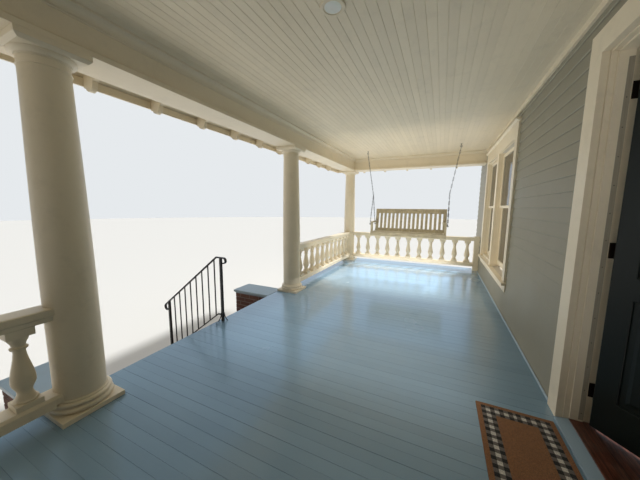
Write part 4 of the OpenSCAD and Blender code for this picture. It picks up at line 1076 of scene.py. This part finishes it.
class PORCH_OT_swing(Operator):
    """Round the swing's boards, and finish its chains and hooks"""
    bl_idname = "porch.swing"
    bl_label = "Porch swing"

    def execute(self, context):
        # The grain runs along the seat's boards, up the slats of the back and along the arms
        for name, along, rows in (
            ("weathered_cypress", (1, 0.06, 1),
             (("swing_frame", "seat_rails"), ("swing_seat", "seat_slats"))),
            ("weathered_cypress_slats", (1, 1, 0.06),
             (("swing_supports", "back_posts"), ("swing_back", "back_slats"))),
            ("weathered_cypress_arms", (0.06, 1, 1), (("swing_arms", "armrests"),)),
        ):
            dressed([(*row, 0.003) for row in rows],
                    swing_timber(name, along), "porch_swing")
        iron = bpy.data.materials["black_painted_iron"]
        dressed([("swing_chain_house", "chain_house", 0), ("swing_chain_street", "chain_street", 0)],
                iron, "porch_swing")
        dressed([("swing_hooks", "ceiling_hooks", 0)], iron)
        return {"FINISHED"}


class PORCH_OT_fittings(Operator):
    """Make the ceiling light's ring and lens"""
    bl_idname = "porch.fittings"
    bl_label = "Ceiling light"

    def execute(self, context):
        low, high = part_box("ceiling_light")
        centre = ((low.x + high.x) / 2, (low.y + high.y) / 2)
        r = (high.x - low.x) / 2
        ring = turned("light_ring", [
            (r - 0.022, high.z), (r, high.z), (r, high.z - 0.004),
            *bulge(r - 0.008, high.z - 0.004, 0.008, 0, -90, 6),
            (r - 0.020, low.z), (r - 0.022, low.z + 0.004)],
            64, centre)
        finished(ring, bpy.data.materials["cream_house_paint"])
        lens = turned("light_lens", [
            (r - 0.022, high.z), (r - 0.022, low.z + 0.005), (r - 0.040, low.z + 0.002),
            (r * 0.2, low.z + 0.0005)],
            64, centre)
        finished(lens, lens_plastic(), stands_for=["ceiling_light"])
        return {"FINISHED"}


class PORCH_OT_mat(Operator):
    """Lay the coir door mat with its chequered border"""
    bl_idname = "porch.mat"
    bl_label = "Door mat"

    def coir(self, low, high):
        """Brushed coir, printed with a border of black, white and tan checks"""
        material, tree, place = patterned("printed_coir")
        fibre = add(tree, "TexNoise", {"Vector": place, "Scale": per_mm(4), "Detail": 4.0})
        level = add(tree, "MapRange", {"Value": fibre, "From Min": 0.3, "From Max": 0.7, "To Min": 0.55,
                                       "To Max": 1.4})
        middle, half = (low + high) / 2, (high - low) / 2
        margin, square, rows = 0.030, 0.028, 3
        centred = add(tree, "VectorMath", {0: place, 1: middle}, operation="SUBTRACT")
        spread = add(tree, "VectorMath", {0: centred}, operation="ABSOLUTE")
        split = add(tree, "SeparateXYZ", {"Vector": spread}, None)
        inset, stripe = [], []
        for i, axis in enumerate("XY"):
            inset.append(add(tree, "Math", {0: half[i] - margin, 1: split[axis]}, operation="SUBTRACT"))
            along = add(tree, "Math", {0: inset[i], 1: 2 * square}, operation="FLOORED_MODULO")
            stripe.append(add(tree, "Math", {0: along, 1: square}, operation="LESS_THAN"))
        nearest = add(tree, "Math", {0: inset[0], 1: inset[1]}, operation="MINIMUM")
        both = add(tree, "Math", {0: stripe[0], 1: stripe[1]}, operation="ADD")
        black = add(tree, "Math", {0: both, 1: 1.5}, operation="GREATER_THAN")
        white = add(tree, "Math", {0: both, 1: 0.5}, operation="LESS_THAN")
        dark_print = add(tree, "Mix", {0: black, 6: "#6A625A", 7: "#14110F"}, 2, data_type="RGBA")
        check = add(tree, "Mix", {0: white, 6: dark_print, 7: "#D2CCC0"}, 2, data_type="RGBA")
        outside = add(tree, "Math", {0: nearest, 1: 0.0}, operation="GREATER_THAN")
        inside = add(tree, "Math", {0: nearest, 1: rows * square}, operation="LESS_THAN")
        border = add(tree, "Math", {0: outside, 1: inside}, operation="MULTIPLY")
        printed = add(tree, "Mix", {0: border, 6: paints().coir, 7: check}, 2, data_type="RGBA")
        colour = add(tree, "HueSaturation", {"Color": printed, "Value": level})
        relief = add(tree, "Bump", {"Height": fibre, "Strength": 1.0, "Distance": 0.004})
        return close(material, add(tree, "BsdfPrincipled", {
            "Base Color": colour, "Roughness": 0.95, "Normal": relief, "Sheen Weight": 0.1}))

    def execute(self, context):
        low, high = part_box("door_mat")
        mat = block("coir_mat", low, high)
        rounded(mat, 0.004)
        finished(crisp(mat), self.coir(low, high), stands_for=["door_mat"])
        return {"FINISHED"}


class PORCH_OT_wall(Operator):
    """Plaster the room side of the house wall"""
    bl_idname = "porch.wall"
    bl_label = "House wall"

    def execute(self, context):
        surfaced(("wall_left", "wall_right", "wall_over_door"), plaster())
        return {"FINISHED"}


class PORCH_OT_stage(Operator):
    """Set the pale floor, the soft lights and the camera"""
    bl_idname = "porch.stage"
    bl_label = "Stage"
    bright_side = (-0.9, -0.43, 0.0)
    open_sky = 1.65
    shaded_sky = 0.04

    def ground(self):
        bpy.ops.object.select_all(action="DESELECT")
        bpy.ops.mesh.primitive_circle_add(vertices=96, radius=60, fill_type="NGON")
        floor = bpy.context.active_object
        floor.name = "stage_floor"
        material, tree = new_tree("stage_floor")
        floor.data.materials.append(material)
        close(material, add(tree, "BsdfPrincipled", {"Base Color": "#D2D1CD", "Roughness": 0.9}))

    def sky(self, scene):
        """A white sky, brightest to the left and before the house, seen as a pale backdrop
        that the gloss of floor and panes mirrors bluer, and greyer from before the house"""
        world = bpy.data.worlds.new("studio")
        scene.world = world
        world.use_nodes = True
        tree = world.node_tree
        tree.nodes.clear()
        ray = add(tree, "LightPath", give=None)
        seen = add(tree, "Math", {0: ray["Is Camera Ray"], 1: ray["Is Glossy Ray"]}, operation="MAXIMUM")
        shown = add(tree, "Math", {0: seen, 1: ray["Is Transmission Ray"]}, operation="MAXIMUM")
        gaze = add(tree, "TexCoord", give="Generated")
        towards = add(tree, "VectorMath", {0: gaze, 1: self.bright_side}, "Value", operation="DOT_PRODUCT")
        level = add(tree, "MapRange", {"Value": towards, "From Min": -0.35, "To Min": self.shaded_sky,
                                       "To Max": self.open_sky})
        light = add(tree, "Background", {"Color": "#FFFFFF", "Strength": level})
        height = add(tree, "VectorMath", {0: gaze, 1: Z}, "Value", operation="DOT_PRODUCT")
        blue = add(tree, "MapRange", {"Value": height, "From Min": 0.05, "From Max": 0.40,
                                      "To Max": ray["Is Glossy Ray"]})
        side = add(tree, "MapRange", {"Value": towards, "From Min": 0.55, "From Max": 0.85})
        mirrored = add(tree, "Mix", {0: side, 6: "#7F8F9A", 7: "#BDD3EE"}, 2, data_type="RGBA")
        seen_sky = add(tree, "Mix", {0: blue, 6: "#E6EAED", 7: mirrored}, 2, data_type="RGBA")
        backdrop = add(tree, "Background", {"Color": seen_sky, "Strength": 1.0})
        mixed = add(tree, "MixShader", {0: shown, 1: light, 2: backdrop})
        add(tree, "OutputWorld", {"Surface": mixed}, None)

    def lamp(self, name, kind, strength, place, turn):
        """A lamp without a glare of its own on the glossy floor"""
        bpy.ops.object.select_all(action="DESELECT")
        bpy.ops.object.light_add(type=kind, location=place, rotation=turn)
        lamp = bpy.context.active_object
        lamp.name = name
        lamp.data.energy = strength
        lamp.visible_glossy = False
        return lamp

    def soft_sun(self, name, towards, strength, spread):
        """Broad light from one side"""
        turn = Vector(towards).to_track_quat("-Z", "Y").to_euler()
        self.lamp(name, "SUN", strength, (0, 0, 8), turn).data.angle = spread

    def glow(self, name, middle, size, watts, colour, turn):
        """Soft light of a lit surface: up from sunlit ground, down on the floor, or along the porch"""
        lamp = self.lamp(name, "AREA", watts, middle, turn)
        lamp.data.shape = "RECTANGLE"
        lamp.data.size, lamp.data.size_y = size
        lamp.data.color = colour
        lamp.visible_camera = False

    def camera(self, scene):
        """The photograph's viewpoint: a wide lens at eye height before the door"""
        eye = Vector((2.42, -0.933, 2.24))
        yaw, pitch, roll = radians(24.909), radians(7.1115), radians(0.3997)
        forward = Vector((-cos(yaw) * cos(pitch), -sin(yaw) * cos(pitch), -sin(pitch)))
        level = forward.cross(Z).normalized()
        upright = level.cross(forward)
        right = level * cos(roll) + upright * sin(roll)
        up = upright * cos(roll) - level * sin(roll)
        bpy.ops.object.camera_add(location=eye)
        camera = bpy.context.active_object
        camera.matrix_world = Matrix.Translation(eye) @ Matrix((right, up, -forward)).transposed().to_4x4()
        camera.data.sensor_width = 36
        camera.data.lens = 14.653
        camera.data.clip_start = 0.05
        scene.camera = camera

    def execute(self, context):
        scene = context.scene
        scene.view_settings.view_transform = "Standard"
        self.ground()
        self.sky(scene)
        warm, white = (1.0, 0.87, 0.68), (1.0, 1.0, 1.0)
        self.soft_sun("end_light", (0.733, -0.234, -0.638), 4.2, radians(4))
        up, down, along = (pi, 0, 0), (0, 0, 0), (pi / 2, 0, pi / 2)
        self.glow("floor_glow", (-2.9, -1.7, 0.85), (3.4, 2.4), 13, warm, up)
        self.glow("lawn_glow", (1.5, -6.65, 0.02), (7.0, 3.7), 54, warm, up)
        self.glow("far_floor_light", (-3.4, -1.85, 1.0), (2.4, 2.3), 28, white, down)
        self.glow("floor_light", (-0.85, -1.9, 1.0), (2.7, 2.6), 8, white, down)
        self.glow("far_end_glow", (-1.9, -1.7, 1.9), (2.4, 1.4), 16, warm, along)
        self.camera(scene)
        return {"FINISHED"}


class PORCH_PT_panel(Panel):
    """Steps and sizes of the porch"""
    bl_label = "Front Porch"
    bl_idname = "PORCH_PT_panel"
    bl_space_type = "VIEW_3D"
    bl_region_type = "UI"
    bl_category = "Porch"

    def draw(self, context):
        for group in GROUPS:
            box = self.layout.box()
            values = getattr(context.scene, group)
            for name in values.bl_rna.properties.keys():
                if name not in ("rna_type", "name"):
                    box.prop(values, name)
        for step in STEPS:
            self.layout.operator(step.bl_idname)


GROUPS = {
    "porch_boards": PorchBoards, "porch_masonry": PorchMasonry, "porch_roofing": PorchRoofing,
    "porch_paints": PorchPaints,
}
STEPS = (
    PORCH_OT_joinery, PORCH_OT_siding, PORCH_OT_floor, PORCH_OT_ceiling, PORCH_OT_roofing, PORCH_OT_brickwork,
    PORCH_OT_columns, PORCH_OT_balusters, PORCH_OT_windows, PORCH_OT_door, PORCH_OT_handrail, PORCH_OT_swing,
    PORCH_OT_fittings, PORCH_OT_mat, PORCH_OT_wall, PORCH_OT_stage,
)


def register():
    for made in (*GROUPS.values(), *STEPS, PORCH_PT_panel):
        bpy.utils.register_class(made)
    for name, group in GROUPS.items():
        setattr(bpy.types.Scene, name, PointerProperty(type=group))


def unregister():
    for name in GROUPS:
        delattr(bpy.types.Scene, name)
    for made in (PORCH_PT_panel, *reversed(STEPS), *GROUPS.values()):
        bpy.utils.unregister_class(made)


def main():
    register()
    for step in STEPS:
        group, name = step.bl_idname.split(".")
        getattr(getattr(bpy.ops, group), name)()


if __name__ == "__main__":
    main()
